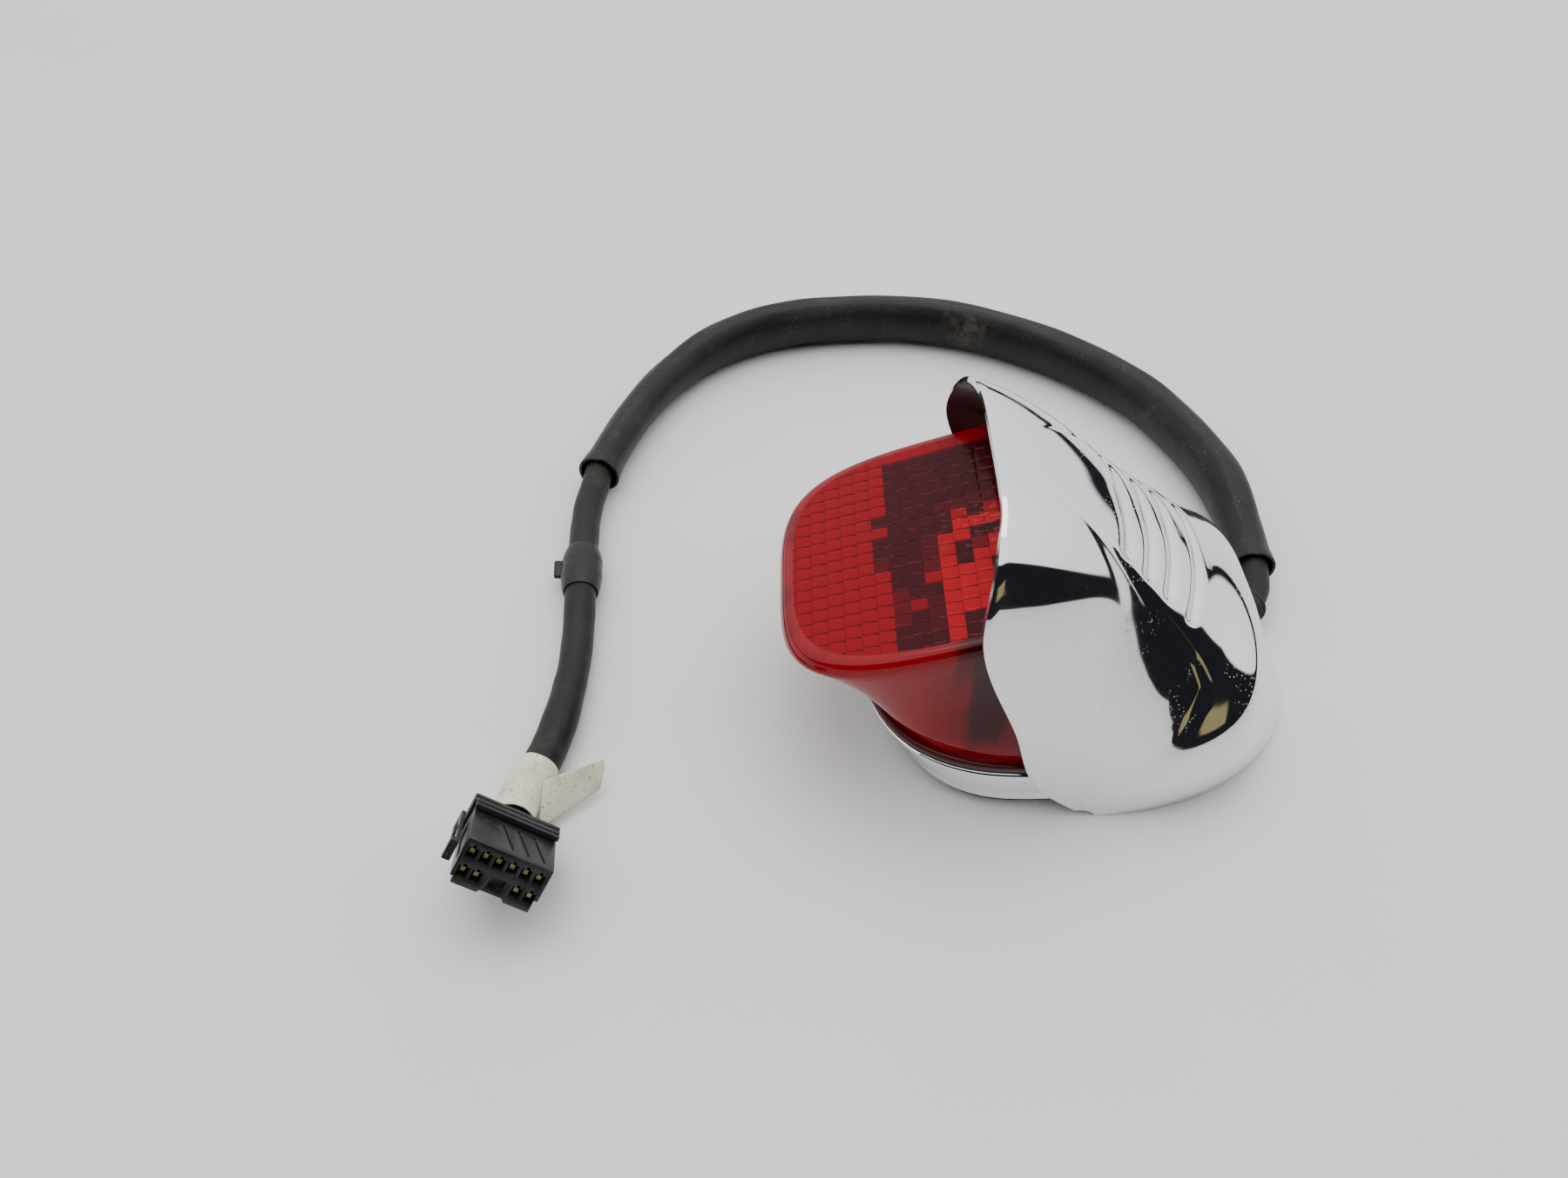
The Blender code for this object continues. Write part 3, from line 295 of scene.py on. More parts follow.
def metalFinish(name, tint, roughness, spots):
    graph = Graph(name)
    tarnish = graph.noise(170, 4, 0.6).ramp(0.48, 0.74)
    color = graph.mix(tarnish * spots, tint, tuple(0.42 * value for value in tint))
    normal = graph.bump(graph.noise(800, 2), 0.00006, 0.5)
    return graph.set(Base_Color=color, Metallic=1.0, Roughness=roughness + tarnish * 0.2, Normal=normal)


def phenolicFinish():
    graph = Graph("brownPhenolic")
    mottle = graph.noise(260, 4).ramp(0.4, 0.7)
    color = graph.mix(mottle, (0.050, 0.034, 0.024), (0.085, 0.060, 0.042))
    return graph.set(Base_Color=color, Roughness=0.5 + mottle * 0.15)


def glassFinish():
    graph = Graph("bulbEnvelope")
    film = graph.noise(120, 3).ramp(0.45, 0.75)
    graph.set(IOR=1.45, Coat_Weight=1.0)
    return graph.set(Base_Color=(0.9, 0.86, 0.84), Roughness=0.05 + film * 0.08, Alpha=0.28 + film * 0.10)


chrome = chromeFinish("chromePlate", chromeLook)
baseChrome = chromeFinish("baseChrome", dict(chromeLook, roughness=0.10, haze=0.3))
hoodInside = metalFinish("hoodInside", (0.060, 0.012, 0.014), 0.30, 0.4)
lensWall = lensWallFinish(lensLook)
lensTiles = lensTileFinish(lensLook)
sleeveVinyl = vinylFinish("sleeveVinyl", vinylLook, 0.55, 0.44)
loomVinyl = vinylFinish("loomVinyl", vinylLook, 0.30, 0.50)
tapeVinyl = vinylFinish("tapeVinyl", dict(vinylLook, black=(0.014, 0.014, 0.016)), 0.25, 0.36)
rubber = rubberFinish("blackRubber")
labelVinyl = labelFinish()
nylon = nylonFinish()
steel = metalFinish("zincSteel", (0.62, 0.60, 0.55), 0.28, 0.7)
brass = metalFinish("contactBrass", (0.72, 0.56, 0.28), 0.26, 0.5)
mirror = metalFinish("mirrorPlastic", (0.70, 0.70, 0.71), 0.14, 0.3)
phenolic = phenolicFinish()
bulbGlass = glassFinish()
print("finishes made")


# Mesh helpers.

def makePiece(name, verts, faces, finishes, faceFinish=None, sharp=40):
    mesh = bpy.data.meshes.new(name)
    mesh.from_pydata([tuple(vert) for vert in verts], [], [tuple(face) for face in faces])
    for finish in finishes:
        mesh.materials.append(finish)
    if faceFinish is not None:
        mesh.polygons.foreach_set("material_index", faceFinish)
    cleaned = bmesh.new()
    cleaned.from_mesh(mesh)
    bmesh.ops.recalc_face_normals(cleaned, faces=cleaned.faces)
    cleaned.to_mesh(mesh)
    cleaned.free()
    mesh.shade_smooth()
    mesh.set_sharp_from_angle(angle=math.radians(sharp))
    piece = bpy.data.objects.new(name, mesh)
    bpy.context.collection.objects.link(piece)
    return piece


def gridFaces(rows, columns, start=0, wrap=False):
    # Quads of a grid of points numbered row by row.
    faces = []
    last = columns if wrap else columns - 1
    for row in range(rows - 1):
        for column in range(last):
            here = start + row * columns + column
            beside = start + row * columns + (column + 1) % columns
            faces.append((here, beside, beside + columns, here + columns))
    return faces


def settle(piece, slotName, body, *nodes):
    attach(piece, body)
    if nodes:
        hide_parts(*nodes)
    return piece


def addBevel(piece, width, segments=3, angle=30):
    bevel = piece.modifiers.new("softEdges", "BEVEL")
    bevel.width = width
    bevel.segments = segments
    bevel.limit_method = "ANGLE"
    bevel.angle_limit = math.radians(angle)


def smoothCurve(knots, at):
    # A smooth curve through (position, value) knots, read at an array of positions.
    at = np.atleast_1d(np.asarray(at, float))
    places = np.array([knot[0] for knot in knots], float)
    values = np.array([knot[1] for knot in knots], float)
    slopes = np.empty(len(knots))
    slopes[1:-1] = (values[2:] - values[:-2]) / (places[2:] - places[:-2])
    slopes[0] = (values[1] - values[0]) / (places[1] - places[0])
    slopes[-1] = (values[-1] - values[-2]) / (places[-1] - places[-2])
    i = np.clip(np.searchsorted(places, at) - 1, 0, len(places) - 2)
    span = places[i + 1] - places[i]
    t = np.clip((at - places[i]) / span, 0.0, 1.0)
    level = (2 * t**3 - 3 * t**2 + 1) * values[i] + (3 * t**2 - 2 * t**3) * values[i + 1]
    return level + (t**3 - 2 * t**2 + t) * slopes[i] * span + (t**3 - t**2) * slopes[i + 1] * span


def softStep(value, low, high):
    t = np.clip((value - low) / (high - low), 0.0, 1.0)
    return t * t * (3 - 2 * t)


def naturalSpline(points, spacing):
    # Points a fixed spacing apart on a natural cubic spline through the given points.
    points = np.array(points, float)
    chords = np.linalg.norm(np.diff(points, axis=0), axis=1)
    knots = np.concatenate([[0.0], np.cumsum(chords)])
    count = len(points)
    system = np.eye(count)
    right = np.zeros_like(points)
    for i in range(1, count - 1):
        before, after = knots[i] - knots[i - 1], knots[i + 1] - knots[i]
        system[i, i - 1:i + 2] = before, 2 * (before + after), after
        right[i] = 6 * ((points[i + 1] - points[i]) / after - (points[i] - points[i - 1]) / before)
    bends = np.linalg.solve(system, right)
    result = []
    for at in np.linspace(0.0, knots[-1], max(3, int(round(knots[-1] / spacing)) + 1)):
        i = min(int(np.searchsorted(knots, at, side="right")) - 1, count - 2)
        span = knots[i + 1] - knots[i]
        a, b = (knots[i + 1] - at) / span, (at - knots[i]) / span
        bend = ((a**3 - a) * bends[i] + (b**3 - b) * bends[i + 1]) * span**2 / 6
        result.append(a * points[i] + b * points[i + 1] + bend)
    return np.array(result)


# Camera, lights and floor.

view = {"over": (-0.0924, 0.04465, 0.0), "distance": 0.475, "elevation": 46.6, "lens": 27.04}
room = {"floor": (0.82, 0.825, 0.81), "strength": 1.5, "overhead": 8.0, "wallNear": 0.74, "wallFar": 0.05,
        "patch": (0.52, -0.78, 0.26)}


def makeCamera():
    camera = bpy.data.objects.new("camera", bpy.data.cameras.new("camera"))
    bpy.context.collection.objects.link(camera)
    rise = math.radians(view["elevation"])
    camera.location = Vector(view["over"]) + Vector((0, -math.cos(rise), math.sin(rise))) * view["distance"]
    camera.rotation_euler = (math.pi / 2 - rise, 0, 0)
    camera.data.lens = view["lens"]
    camera.data.sensor_width = 36
    camera.data.clip_start = 0.01
    bpy.context.scene.camera = camera


def makeLight(name, place, target, size, power, color=(1, 1, 1)):
    lamp = bpy.data.lights.new(name, "AREA")
    lamp.shape = "RECTANGLE"
    lamp.size, lamp.size_y = size
    lamp.energy = power
    lamp.color = color
    light = bpy.data.objects.new(name, lamp)
    bpy.context.collection.objects.link(light)
    light.location = place
    light.rotation_euler = (Vector(target) - Vector(place)).to_track_quat("-Z", "Y").to_euler()


def makeSky():
    # Bright overhead and behind, dark in front up to a set height, with one warm patch there.
    world = bpy.data.worlds.new("studio")
    bpy.context.scene.world = world
    world.use_nodes = True
    graph = Graph("studio", world.node_tree)
    x, y, z = graph.axes("Generated")
    wallTop = y.ramp(-0.62, 0.06, room["wallNear"], room["wallFar"])
    bright = (z - wallTop).ramp(-0.025, 0.025)
    patch = ((x - room["patch"][0]).absolute() * 1.3).most((y - room["patch"][1]).absolute() * 0.9)
    patch = patch.most((z - room["patch"][2]).absolute() * 1.5).ramp(0.15, 0.20, 1.0, 0.0)
    dark = graph.mix(patch, (0.010, 0.010, 0.013), (0.22, 0.19, 0.09))
    top = graph.mix(z.ramp(0.05, 0.9), (0.80, 0.81, 0.83), (1.0, 1.0, 1.0))
    background = graph.tree.nodes["Background"]
    graph.feed(background.inputs["Color"], graph.mix(bright, dark, top))
    background.inputs["Strength"].default_value = room["strength"]


def makeRoom():
    makeSky()
    size = 1.6
    graph = Graph("paleFloor")
    mottle = graph.noise(9, 4, 0.5).ramp(0.35, 0.7)
    color = graph.mix(mottle, tuple(value * 0.975 for value in room["floor"]), room["floor"])
    graph.set(Base_Color=color, Roughness=0.42)
    corners = [(-size, -size, 0), (size, -size, 0), (size, size, 0), (-size, size, 0)]
    floor = makePiece("floor", corners, [(0, 1, 2, 3)], [graph.material])
    makeLight("overhead", (-0.05, 0.35, 1.5), (0.0, 0.05, 0), (1.5, 1.1), room["overhead"], (1.0, 0.99, 0.97))


makeCamera()
makeRoom()
print("room made")


# Harness: the loom, with the sleeve, tape, label and connector sitting on it.

harness = {
    "loomRadius": 6.0 * mm,
    "tail": [(72, 16, 8.7), (79, 21.5, 8.7), (86, 27.4, 8.7), (91.2, 34.5, 8.9), (93.6, 44, 9.8)],
    "sleeve": [(93.9, 46, 10.3), (95.0, 70, 10.3), (93.0, 97, 10.3), (86.5, 122, 10.3), (76.0, 146, 10.3),
               (52.2, 176, 10.3), (14.5, 203, 10.3), (-27.2, 217, 10.3), (-66.3, 217.5, 10.3),
               (-105.3, 207.5, 10.3), (-134.3, 187, 10.3), (-153.1, 159.5, 10.3), (-164.6, 131, 10.3),
               (-172.2, 103, 10.3)],
    "loom": [(-172.4, 101.5, 10.0), (-174.3, 86, 9.0), (-174.2, 66, 8.7), (-173.0, 46, 8.7),
             (-171.6, 27, 8.2), (-170.6, 9, 6.9), (-171.0, -10, 6.6), (-172.5, -26, 6.9), (-175.5, -42, 7.0),
             (-179.8, -56, 8.2), (-182.4, -66.5, 9.3), (-182.5, -74.4, 12.2)],
}


def routePoints(*names, spacing=4.0):
    points = []
    for name in names:
        points += harness[name]
    return naturalSpline(points, spacing) * mm


def pathFrames(path):
    # Sideways and upward directions at each point of a path.
    along = np.gradient(path, axis=0)
    along /= np.linalg.norm(along, axis=1, keepdims=True)
    side = np.cross(along, (0, 0, 1))
    side /= np.linalg.norm(side, axis=1, keepdims=True)
    up = np.cross(side, along)
    return side, up


def sweptTube(path, radii, sides, ripple=None):
    # Rings round a path; radii gives the half width and half height at each point.
    side, up = pathFrames(path)
    rings = []
    for i, centre in enumerate(path):
        for k in range(sides):
            angle = math.tau * k / sides
            swell = ripple(i, angle) if ripple else 1.0
            across = math.cos(angle) * radii[i][0] * swell
            rise = math.sin(angle) * radii[i][1] * swell
            rings.append(centre + side[i] * across + up[i] * rise)
    return rings


def closedTube(name, path, radii, sides, finish, ripple=None, wall=0.0):
    # A tube with flat ends, or a hollow one with that wall.
    verts = sweptTube(path, radii, sides, ripple)
    count = len(path)
    faces = gridFaces(count, sides, wrap=True)
    if wall:
        inner = [(width - wall, height - wall) for width, height in radii]
        verts += sweptTube(path, inner, sides, ripple)
        faces += gridFaces(count, sides, start=count * sides, wrap=True)
        for row in (0, count - 1):
            for k in range(sides):
                a, b = row * sides + k, row * sides + (k + 1) % sides
                faces.append((a, b, b + count * sides, a + count * sides))
    else:
        faces.append(tuple(range(sides)))
        faces.append(tuple(range((count - 1) * sides, count * sides)))
    return makePiece(name, verts, faces, [finish], sharp=55)


def makeLoom():
    path = routePoints("tail", "sleeve", "loom", spacing=3.2)
    total = len(path)
    dice = np.random.default_rng(4)
    wander = np.convolve(dice.normal(size=total + 8), np.ones(9) / 9, "valid")[:total]
    radii = []
    for i in range(total):
        share = i / (total - 1)
        swell = softStep(share, 0.88, 0.94) * (1 - softStep(share, 0.955, 0.99))
        wide = 1.0 + 0.05 * wander[i] + 0.10 * swell
        radii.append((harness["loomRadius"] * wide, harness["loomRadius"] * min(wide, 1.04)))

    def ripple(i, angle):
        spot = path[i] * 90
        crease = noise.noise(Vector((spot[0] + math.cos(angle), spot[1], spot[2] + math.sin(angle))))
        return 1.0 + 0.045 * crease

    loom = closedTube("loomJacket", path, radii, 28, loomVinyl, ripple)
    return settle(loom, "black_vinyl", "root", "wiring_loom", "loom_tail"), path


sleeveLook = {"halfWidth": 9.2 * mm, "halfHeight": 11.8 * mm, "endHalf": 8.0 * mm, "wall": 1.0 * mm}


def makeSleeve():
    path = routePoints("sleeve", spacing=2.6)
    total = len(path)
    radii = []
    for i in range(total):
        share = i / (total - 1)
        full = softStep(share, 0.0, 0.12) * (1 - softStep(share, 0.70, 0.93))
        flare = 0.9 * mm * softStep(share, 0.975, 1.0) + 0.8 * mm * (1 - softStep(share, 0.0, 0.02))
        wide = sleeveLook["endHalf"] + (sleeveLook["halfWidth"] - sleeveLook["endHalf"]) * full + flare
        tall = sleeveLook["endHalf"] + (sleeveLook["halfHeight"] - sleeveLook["endHalf"]) * full + flare
        radii.append((wide, tall))
    raised = path.copy()
    for i in range(total):
        raised[i][2] = max(radii[i][1] + 0.4 * mm, path[i][2])

    def ripple(i, angle):
        spot = path[i] * 42
        fold = noise.noise(Vector((spot[0], spot[1], 2.0 * math.cos(angle))))
        crease = math.exp(-((angle - 1.95) / 0.16) ** 2) - math.exp(-((angle - 1.55) / 0.22) ** 2)
        return 1.0 + 0.05 * fold + 0.035 * crease

    sleeve = closedTube("outerSleeve", raised, radii, 40, sleeveVinyl, ripple, sleeveLook["wall"])
    return settle(sleeve, "black_vinyl", "root", "outer_sleeve")


tapeLook = {
    "low": 6.7 * mm, "bulge": 1.3 * mm, "overlap": 0.25 * mm, "wall": 0.6 * mm, "length": 22, "turns": 3,
    "tab": (5.0 * mm, 8.0 * mm, 2.2 * mm), "tabOffset": (-9.0 * mm, 2.0 * mm, -1.0 * mm),
    "tabTurn": (0.2, 0.15, 0.1), "tabEdge": 0.9 * mm,
}


def makeTape():
    centre = Vector(harness["loom"][3]) * mm
    path = routePoints("loom", spacing=1.0)
    near = int(np.argmin(np.linalg.norm(path - np.array(centre), axis=1)))
    reach = tapeLook["length"] // 2
    stretch = path[near - reach:near + reach + 1]
    total = len(stretch)
    radii = []
    for i in range(total):
        share = abs(2 * i / (total - 1) - 1)
        bulge = (1 - share**3) * tapeLook["bulge"]
        overlap = tapeLook["overlap"] * ((i * tapeLook["turns"] / total) % 1.0)
        radii.append((tapeLook["low"] + bulge + overlap, tapeLook["low"] + bulge * 0.6))
    tape = closedTube("tapeBand", stretch, radii, 32, tapeVinyl, None, tapeLook["wall"])
    tab = bpy.data.meshes.new("tapeTab")
    form = bmesh.new()
    bmesh.ops.create_cube(form, size=1.0)
    bmesh.ops.scale(form, vec=tapeLook["tab"], verts=form.verts)
    form.to_mesh(tab)
    form.free()
    tab.materials.append(tapeVinyl)
    tabPiece = bpy.data.objects.new("tapeTab", tab)
    bpy.context.collection.objects.link(tabPiece)
    tabPiece.location = centre + Vector(tapeLook["tabOffset"])
    tabPiece.rotation_euler = tapeLook["tabTurn"]
    addBevel(tabPiece, tapeLook["tabEdge"], 4)
    tab.shade_smooth()
    settle(tabPiece, "black_vinyl", "root")
    return settle(tape, "black_vinyl", "root", "tape_band"), tabPiece


labelLook = {
    "thick": 0.35 * mm, "wrapRadius": 7.2 * mm,
    "rootHigh": (-173.2, -57.0, 13.4), "tipHigh": (-155.0, -45.4, 9.6),
    "tipLow": (-155.4, -53.6, 4.4), "rootLow": (-174.6, -69.6, 3.6),
}


def makeLabel():
    path = routePoints("loom", spacing=1.0)
    stretch = path[-30:-4]
    total = len(stretch)
    radii = []
    for i in range(total):
        share = i / (total - 1)
        puff = 0.5 * mm * math.sin(share * 7.0) * 0.4 + 0.7 * mm * share
        radii.append((labelLook["wrapRadius"] + puff, labelLook["wrapRadius"] - 0.3 * mm + puff * 0.4))

    def ripple(i, angle):
        spot = stretch[i] * 160
        return 1.0 + 0.035 * noise.noise(Vector((spot[0], spot[1], 3.0 * math.cos(angle - 0.4))))

    wrap = closedTube("labelWrap", stretch, radii, 40, labelVinyl, ripple, labelLook["thick"])
    rows, columns = 26, 18
    verts = []
    for row in range(rows):
        along = row / (rows - 1)
        for column in range(columns):
            down = column / (columns - 1)
            high = Vector(labelLook["rootHigh"]).lerp(Vector(labelLook["tipHigh"]), along)
            low = Vector(labelLook["rootLow"]).lerp(Vector(labelLook["tipLow"]), along)
            point = high.lerp(low, down)
            curl = 1.5 * math.sin(math.pi * along) * (1 - down) + 0.9 * math.sin(math.pi * down) * (1 - along)
            point += Vector((0.15, -0.35, 0.9)) * curl
            point += Vector((1.0, 0.6, 0)) * 1.6 * (0.5 - abs(down - 0.38)) * along**6
            verts.append(point * mm)
    flag = makePiece("labelFlag", verts, gridFaces(rows, columns), [labelVinyl])
    thick = flag.modifiers.new("thickness", "SOLIDIFY")
    thick.thickness = labelLook["thick"]
    thick.offset = 0
    settle(flag, "cream_label", "root")
    return settle(wrap, "cream_label", "root", "printed_label"), flag


grommetLook = {
    "profile": [(6.45, -2.0), (7.2, -2.6), (7.9, -2.0), (8.1, -1.2), (7.5, -0.6), (7.5, 0.6), (8.1, 1.2),
                (7.9, 2.0), (7.2, 2.6), (6.45, 2.0)],
    "sides": 48,
}


def makeGrommet():
    place = Vector(harness["tail"][2]) * mm
    heading = (Vector(harness["tail"][3]) - Vector(harness["tail"][1]))
    heading.z = 0
    turn = Vector((0, 0, 1)).rotation_difference(heading.normalized()).to_matrix()
    profile, sides = grommetLook["profile"], grommetLook["sides"]
    verts = []
    for radius, height in profile:
        for k in range(sides):
            angle = math.tau * k / sides
            spot = Vector((radius * math.cos(angle), radius * math.sin(angle), height)) * mm
            verts.append(place + turn @ spot)
    faces = gridFaces(len(profile), sides, wrap=True)
    last = (len(profile) - 1) * sides
    for k in range(sides):
        faces.append((k, (k + 1) % sides, last + (k + 1) % sides, last + k))
    ring = makePiece("harnessGrommet", verts, faces, [rubber])
    return settle(ring, "black_rubber", "root", "harness_grommet")


# Connector, made in its own frame: X across, -Y towards the mating face, +Z up.

plug = {
    "place": (-179.6, -90.8, 22.0), "across": (0.86, -0.14, -0.49), "front": (0.15, -0.83, 0.50),
    "width": 27.5, "height": 15.5, "depth": 24.0, "pitch": 4.35, "rowPitch": 6.6,
    "cavity": (3.3, 13.0, 3.9), "capDepth": 4.4, "overhang": 1.0, "keyStep": 1.1,
}
halfW = plug["width"] / 2
halfH = plug["height"] / 2
halfD = plug["depth"] / 2


def plugMatrix():
    front = Vector(plug["front"]).normalized()
    across = Vector(plug["across"])
    across = (across - front * across.dot(front)).normalized()
    up = across.cross(-front)
    matrix = Matrix((across, -front, up)).transposed().to_4x4()
    matrix.translation = Vector(plug["place"]) * mm
    return matrix


def boxInto(form, low, high, turn=0.0):
    made = bmesh.ops.create_cube(form, size=1.0)["verts"]
    low, high = Vector(low) * mm, Vector(high) * mm
    bmesh.ops.scale(form, vec=high - low, verts=made)
    if turn:
        bmesh.ops.rotate(form, matrix=Matrix.Rotation(turn, 3, "Z"), verts=made)
    bmesh.ops.translate(form, vec=(low + high) / 2, verts=made)


def plugPiece(name, form, bevelWidth, body, node):
    mesh = bpy.data.meshes.new(name)
    bmesh.ops.recalc_face_normals(form, faces=form.faces)
    form.to_mesh(mesh)
    form.free()
    mesh.materials.append(nylon)
    piece = bpy.data.objects.new(name, mesh)
    bpy.context.collection.objects.link(piece)
    piece.matrix_world = plugMatrix()
    if bevelWidth:
        addBevel(piece, bevelWidth, 3)
    return settle(piece, "black_nylon", body, node)


def applied(piece):
    # The piece's mesh with its modifiers made real.
    graph = bpy.context.evaluated_depsgraph_get()
    mesh = bpy.data.meshes.new_from_object(piece.evaluated_get(graph))
    piece.modifiers.clear()
    piece.data = mesh
    mesh.shade_smooth()
    mesh.set_sharp_from_angle(angle=math.radians(35))


def makeHousing():
    form = bmesh.new()
    step = plug["keyStep"]
    outline = [(-halfW, halfH), (halfW, halfH), (halfW, -halfH + 4 * step), (halfW - step, -halfH + 4 * step),
               (halfW - step, -halfH), (4 * step, -halfH), (3.2 * step, -halfH + step),
               (-3.2 * step, -halfH + step), (-4 * step, -halfH), (-halfW + step, -halfH),
               (-halfW + step, -halfH + 2 * step), (-halfW, -halfH + 2 * step)]
    verts = [form.verts.new((x * mm, -halfD * mm, z * mm)) for x, z in outline]
    face = form.faces.new(verts)
    raised = bmesh.ops.extrude_face_region(form, geom=[face])["geom"]
    moved = [item for item in raised if isinstance(item, bmesh.types.BMVert)]
    bmesh.ops.translate(form, vec=(0, 2 * halfD * mm, 0), verts=moved)
    housing = plugPiece("plugHousing", form, 0, "root", "connector_housing")
    cutter = makeCavities()
    cut = housing.modifiers.new("cavities", "BOOLEAN")
    cut.object = cutter
    cut.solver = "EXACT"
    cut.use_self = True
    addBevel(housing, 0.22 * mm, 2, 40)
    bpy.context.view_layer.update()
    applied(housing)
    bpy.data.objects.remove(cutter, do_unlink=True)
    return housing


def makeCavities():
    # What is cut from the housing: ten terminal cavities, ribs on top, a side slot and a key.
    form = bmesh.new()
    places = [((i - 2.5) * plug["pitch"], plug["rowPitch"] / 2) for i in range(6)]
    places += [((i - 2.5) * plug["pitch"], -plug["rowPitch"] / 2) for i in (0, 1, 4, 5)]
    wide, deep, tall = plug["cavity"]
    for x, z in places:
        boxInto(form, (x - wide / 2, -halfD - 1, z - tall / 2), (x + wide / 2, -halfD + deep, z + tall / 2))
        boxInto(form, (x - 0.5, -halfD - 1, z + tall / 2 - 0.1),
                (x + 0.5, -halfD + deep * 0.6, z + tall / 2 + 0.8))
    for i in range(3):
        middle = -2.0 + i * 5.2
        boxInto(form, (middle - 0.45, -9.4, halfH - 0.5), (middle + 0.45, 4.6, halfH + 0.5), math.radians(18))
    boxInto(form, (-halfW - 0.6, -8.0, -2.6), (-halfW + 0.5, 7.0, 3.4))
    boxInto(form, (-2.4, -halfD - 1, -5.4), (2.4, -halfD + 2.0, -1.2))
    mesh = bpy.data.meshes.new("cavityCutter")
    form.to_mesh(mesh)
    form.free()
    cutter = bpy.data.objects.new("cavityCutter", mesh)
    bpy.context.collection.objects.link(cutter)
    cutter.matrix_world = plugMatrix()
    return cutter


def makeCap():
    form = bmesh.new()
    rear = halfD + 0.3
    edge = plug["overhang"]
    boxInto(form, (-halfW - edge, rear, -halfH - edge), (halfW + edge, rear + 1.7, halfH + edge))
    boxInto(form, (-halfW - 0.1, rear + 1.5, -halfH - 0.1), (halfW + 0.1, rear + 2.9, halfH + 0.1))
    boxInto(form, (-halfW - edge, rear + 2.7, -halfH - edge),
            (halfW + edge, rear + plug["capDepth"], halfH + edge))
    return plugPiece("plugCap", form, 0.45 * mm, "root", "connector_cap")


def makeLock():
    form = bmesh.new()
    boxInto(form, (-halfW - 0.4, -3.6, -0.9), (halfW + 0.4, -2.3, 0.9))
    boxInto(form, (-halfW - 0.2, -2.5, -0.7), (halfW + 0.2, -0.9, 0.5))
    boxInto(form, (-halfW - 0.4, -1.1, -0.9), (halfW + 0.4, 0.7, 0.9))
    bmesh.ops.translate(form, vec=(0, (halfD - 1.4) * mm, (halfH + 1.2) * mm), verts=form.verts)
    return plugPiece("plugLock", form, 0.3 * mm, "connector_lock", "connector_lock")


def makeLatch():
    # Two side rails, a crossbar at each end, a grip and a catch.
    form = bmesh.new()
    boxInto(form, (-0.7, -20, -3.6), (0.7, 0, -1.6))
    boxInto(form, (-0.7, -20, 1.6), (0.7, 0, 3.6))
    boxInto(form, (-0.7, -3.0, -1.8), (0.7, 0, 1.8))
    boxInto(form, (-0.7, -20, -1.8), (0.7, -14.0, 1.8))
    boxInto(form, (-2.0, -20.6, -3.5), (0.6, -18, 3.5))
    boxInto(form, (-1.1, -10.8, -3.4), (-0.5, -10.0, 3.4))
    bmesh.ops.translate(form, vec=((-halfW - 2.4) * mm, (halfD - 1.2) * mm, 0.6 * mm), verts=form.verts)
    return plugPiece("plugLatch", form, 0.25 * mm, "connector_latch", "connector_latch")


loom, loomPath = makeLoom()
sleeve = makeSleeve()
tape, tab = makeTape()
wrap, flag = makeLabel()
grommet = makeGrommet()
plugPieces = [makeHousing(), makeCap(), makeLock(), makeLatch()]
terminals = [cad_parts[f"terminal_{i:02d}"] for i in range(1, 11)]
[tuple(point) for point in loomPath[::3]] + [tuple(loomPath[-1])]
[sleeve, tape, tab, wrap, flag, grommet] + plugPieces + terminals
print("harness made")


# Lamp outlines, as in the frame's own sizes.

lamp = {
    "noseX": -93.8, "tailX": 93.8, "faceMiddleX": -28.0, "faceBackX": -6.0, "faceHalf": 51.5,
    "faceNoseZ": 54.0, "faceTilt": math.radians(20), "beadHeight": 5.0, "beadInset": 4.5,
    "footNoseX": -65.5, "footMiddleX": -10.0, "footBackX": 2.0, "footHalf": 58.0,
    "footZ": 19.8, "flangeZ": 22.6, "wall": 2.5,
}


def facePlane(x):
    return lamp["faceNoseZ"] + (x - lamp["noseX"]) * math.tan(lamp["faceTilt"])


def outlinePoint(u, v, middle, front, back, half, frontPower, backPower):
    # Maps a point of the square from -1 to 1 into a rounded outline, edge to edge.
    power = frontPower if u < 0 else backPower
    reach = middle - front if u < 0 else back - middle
    largest = max(abs(u), abs(v))
    if largest < 1e-9:
        return middle, 0.0
    norm = (abs(u) ** power + abs(v) ** power) ** (1 / power)
    return middle + u * reach * largest / norm, v * half * largest / norm


def facePoint(u, v, inset):
    return outlinePoint(u, v, lamp["faceMiddleX"], lamp["noseX"] + inset, lamp["faceBackX"] - inset,
                        lamp["faceHalf"] - inset, 3.6, 5.0)


def footPoint(u, v, inset):
    return outlinePoint(u, v, lamp["footMiddleX"], lamp["footNoseX"] + inset, lamp["footBackX"] - inset,
                        lamp["footHalf"] - inset, 2.6, 9.0)


lensDetail = {"columns": 132, "rows": 188, "tile": tileSize / mm, "relief": 0.22}


def tileRelief(x, y):
    # Each prism is a small pillow, higher towards one side.
    tile = lensDetail["tile"]
    onX, onY = (x / tile) % 1.0, (y / tile) % 1.0
    pillow = (1 - abs(2 * onX - 1) ** 5) * (1 - abs(2 * onY - 1) ** 5)
    return lensDetail["relief"] * (pillow * (0.55 + 0.45 * onX) - 0.5)


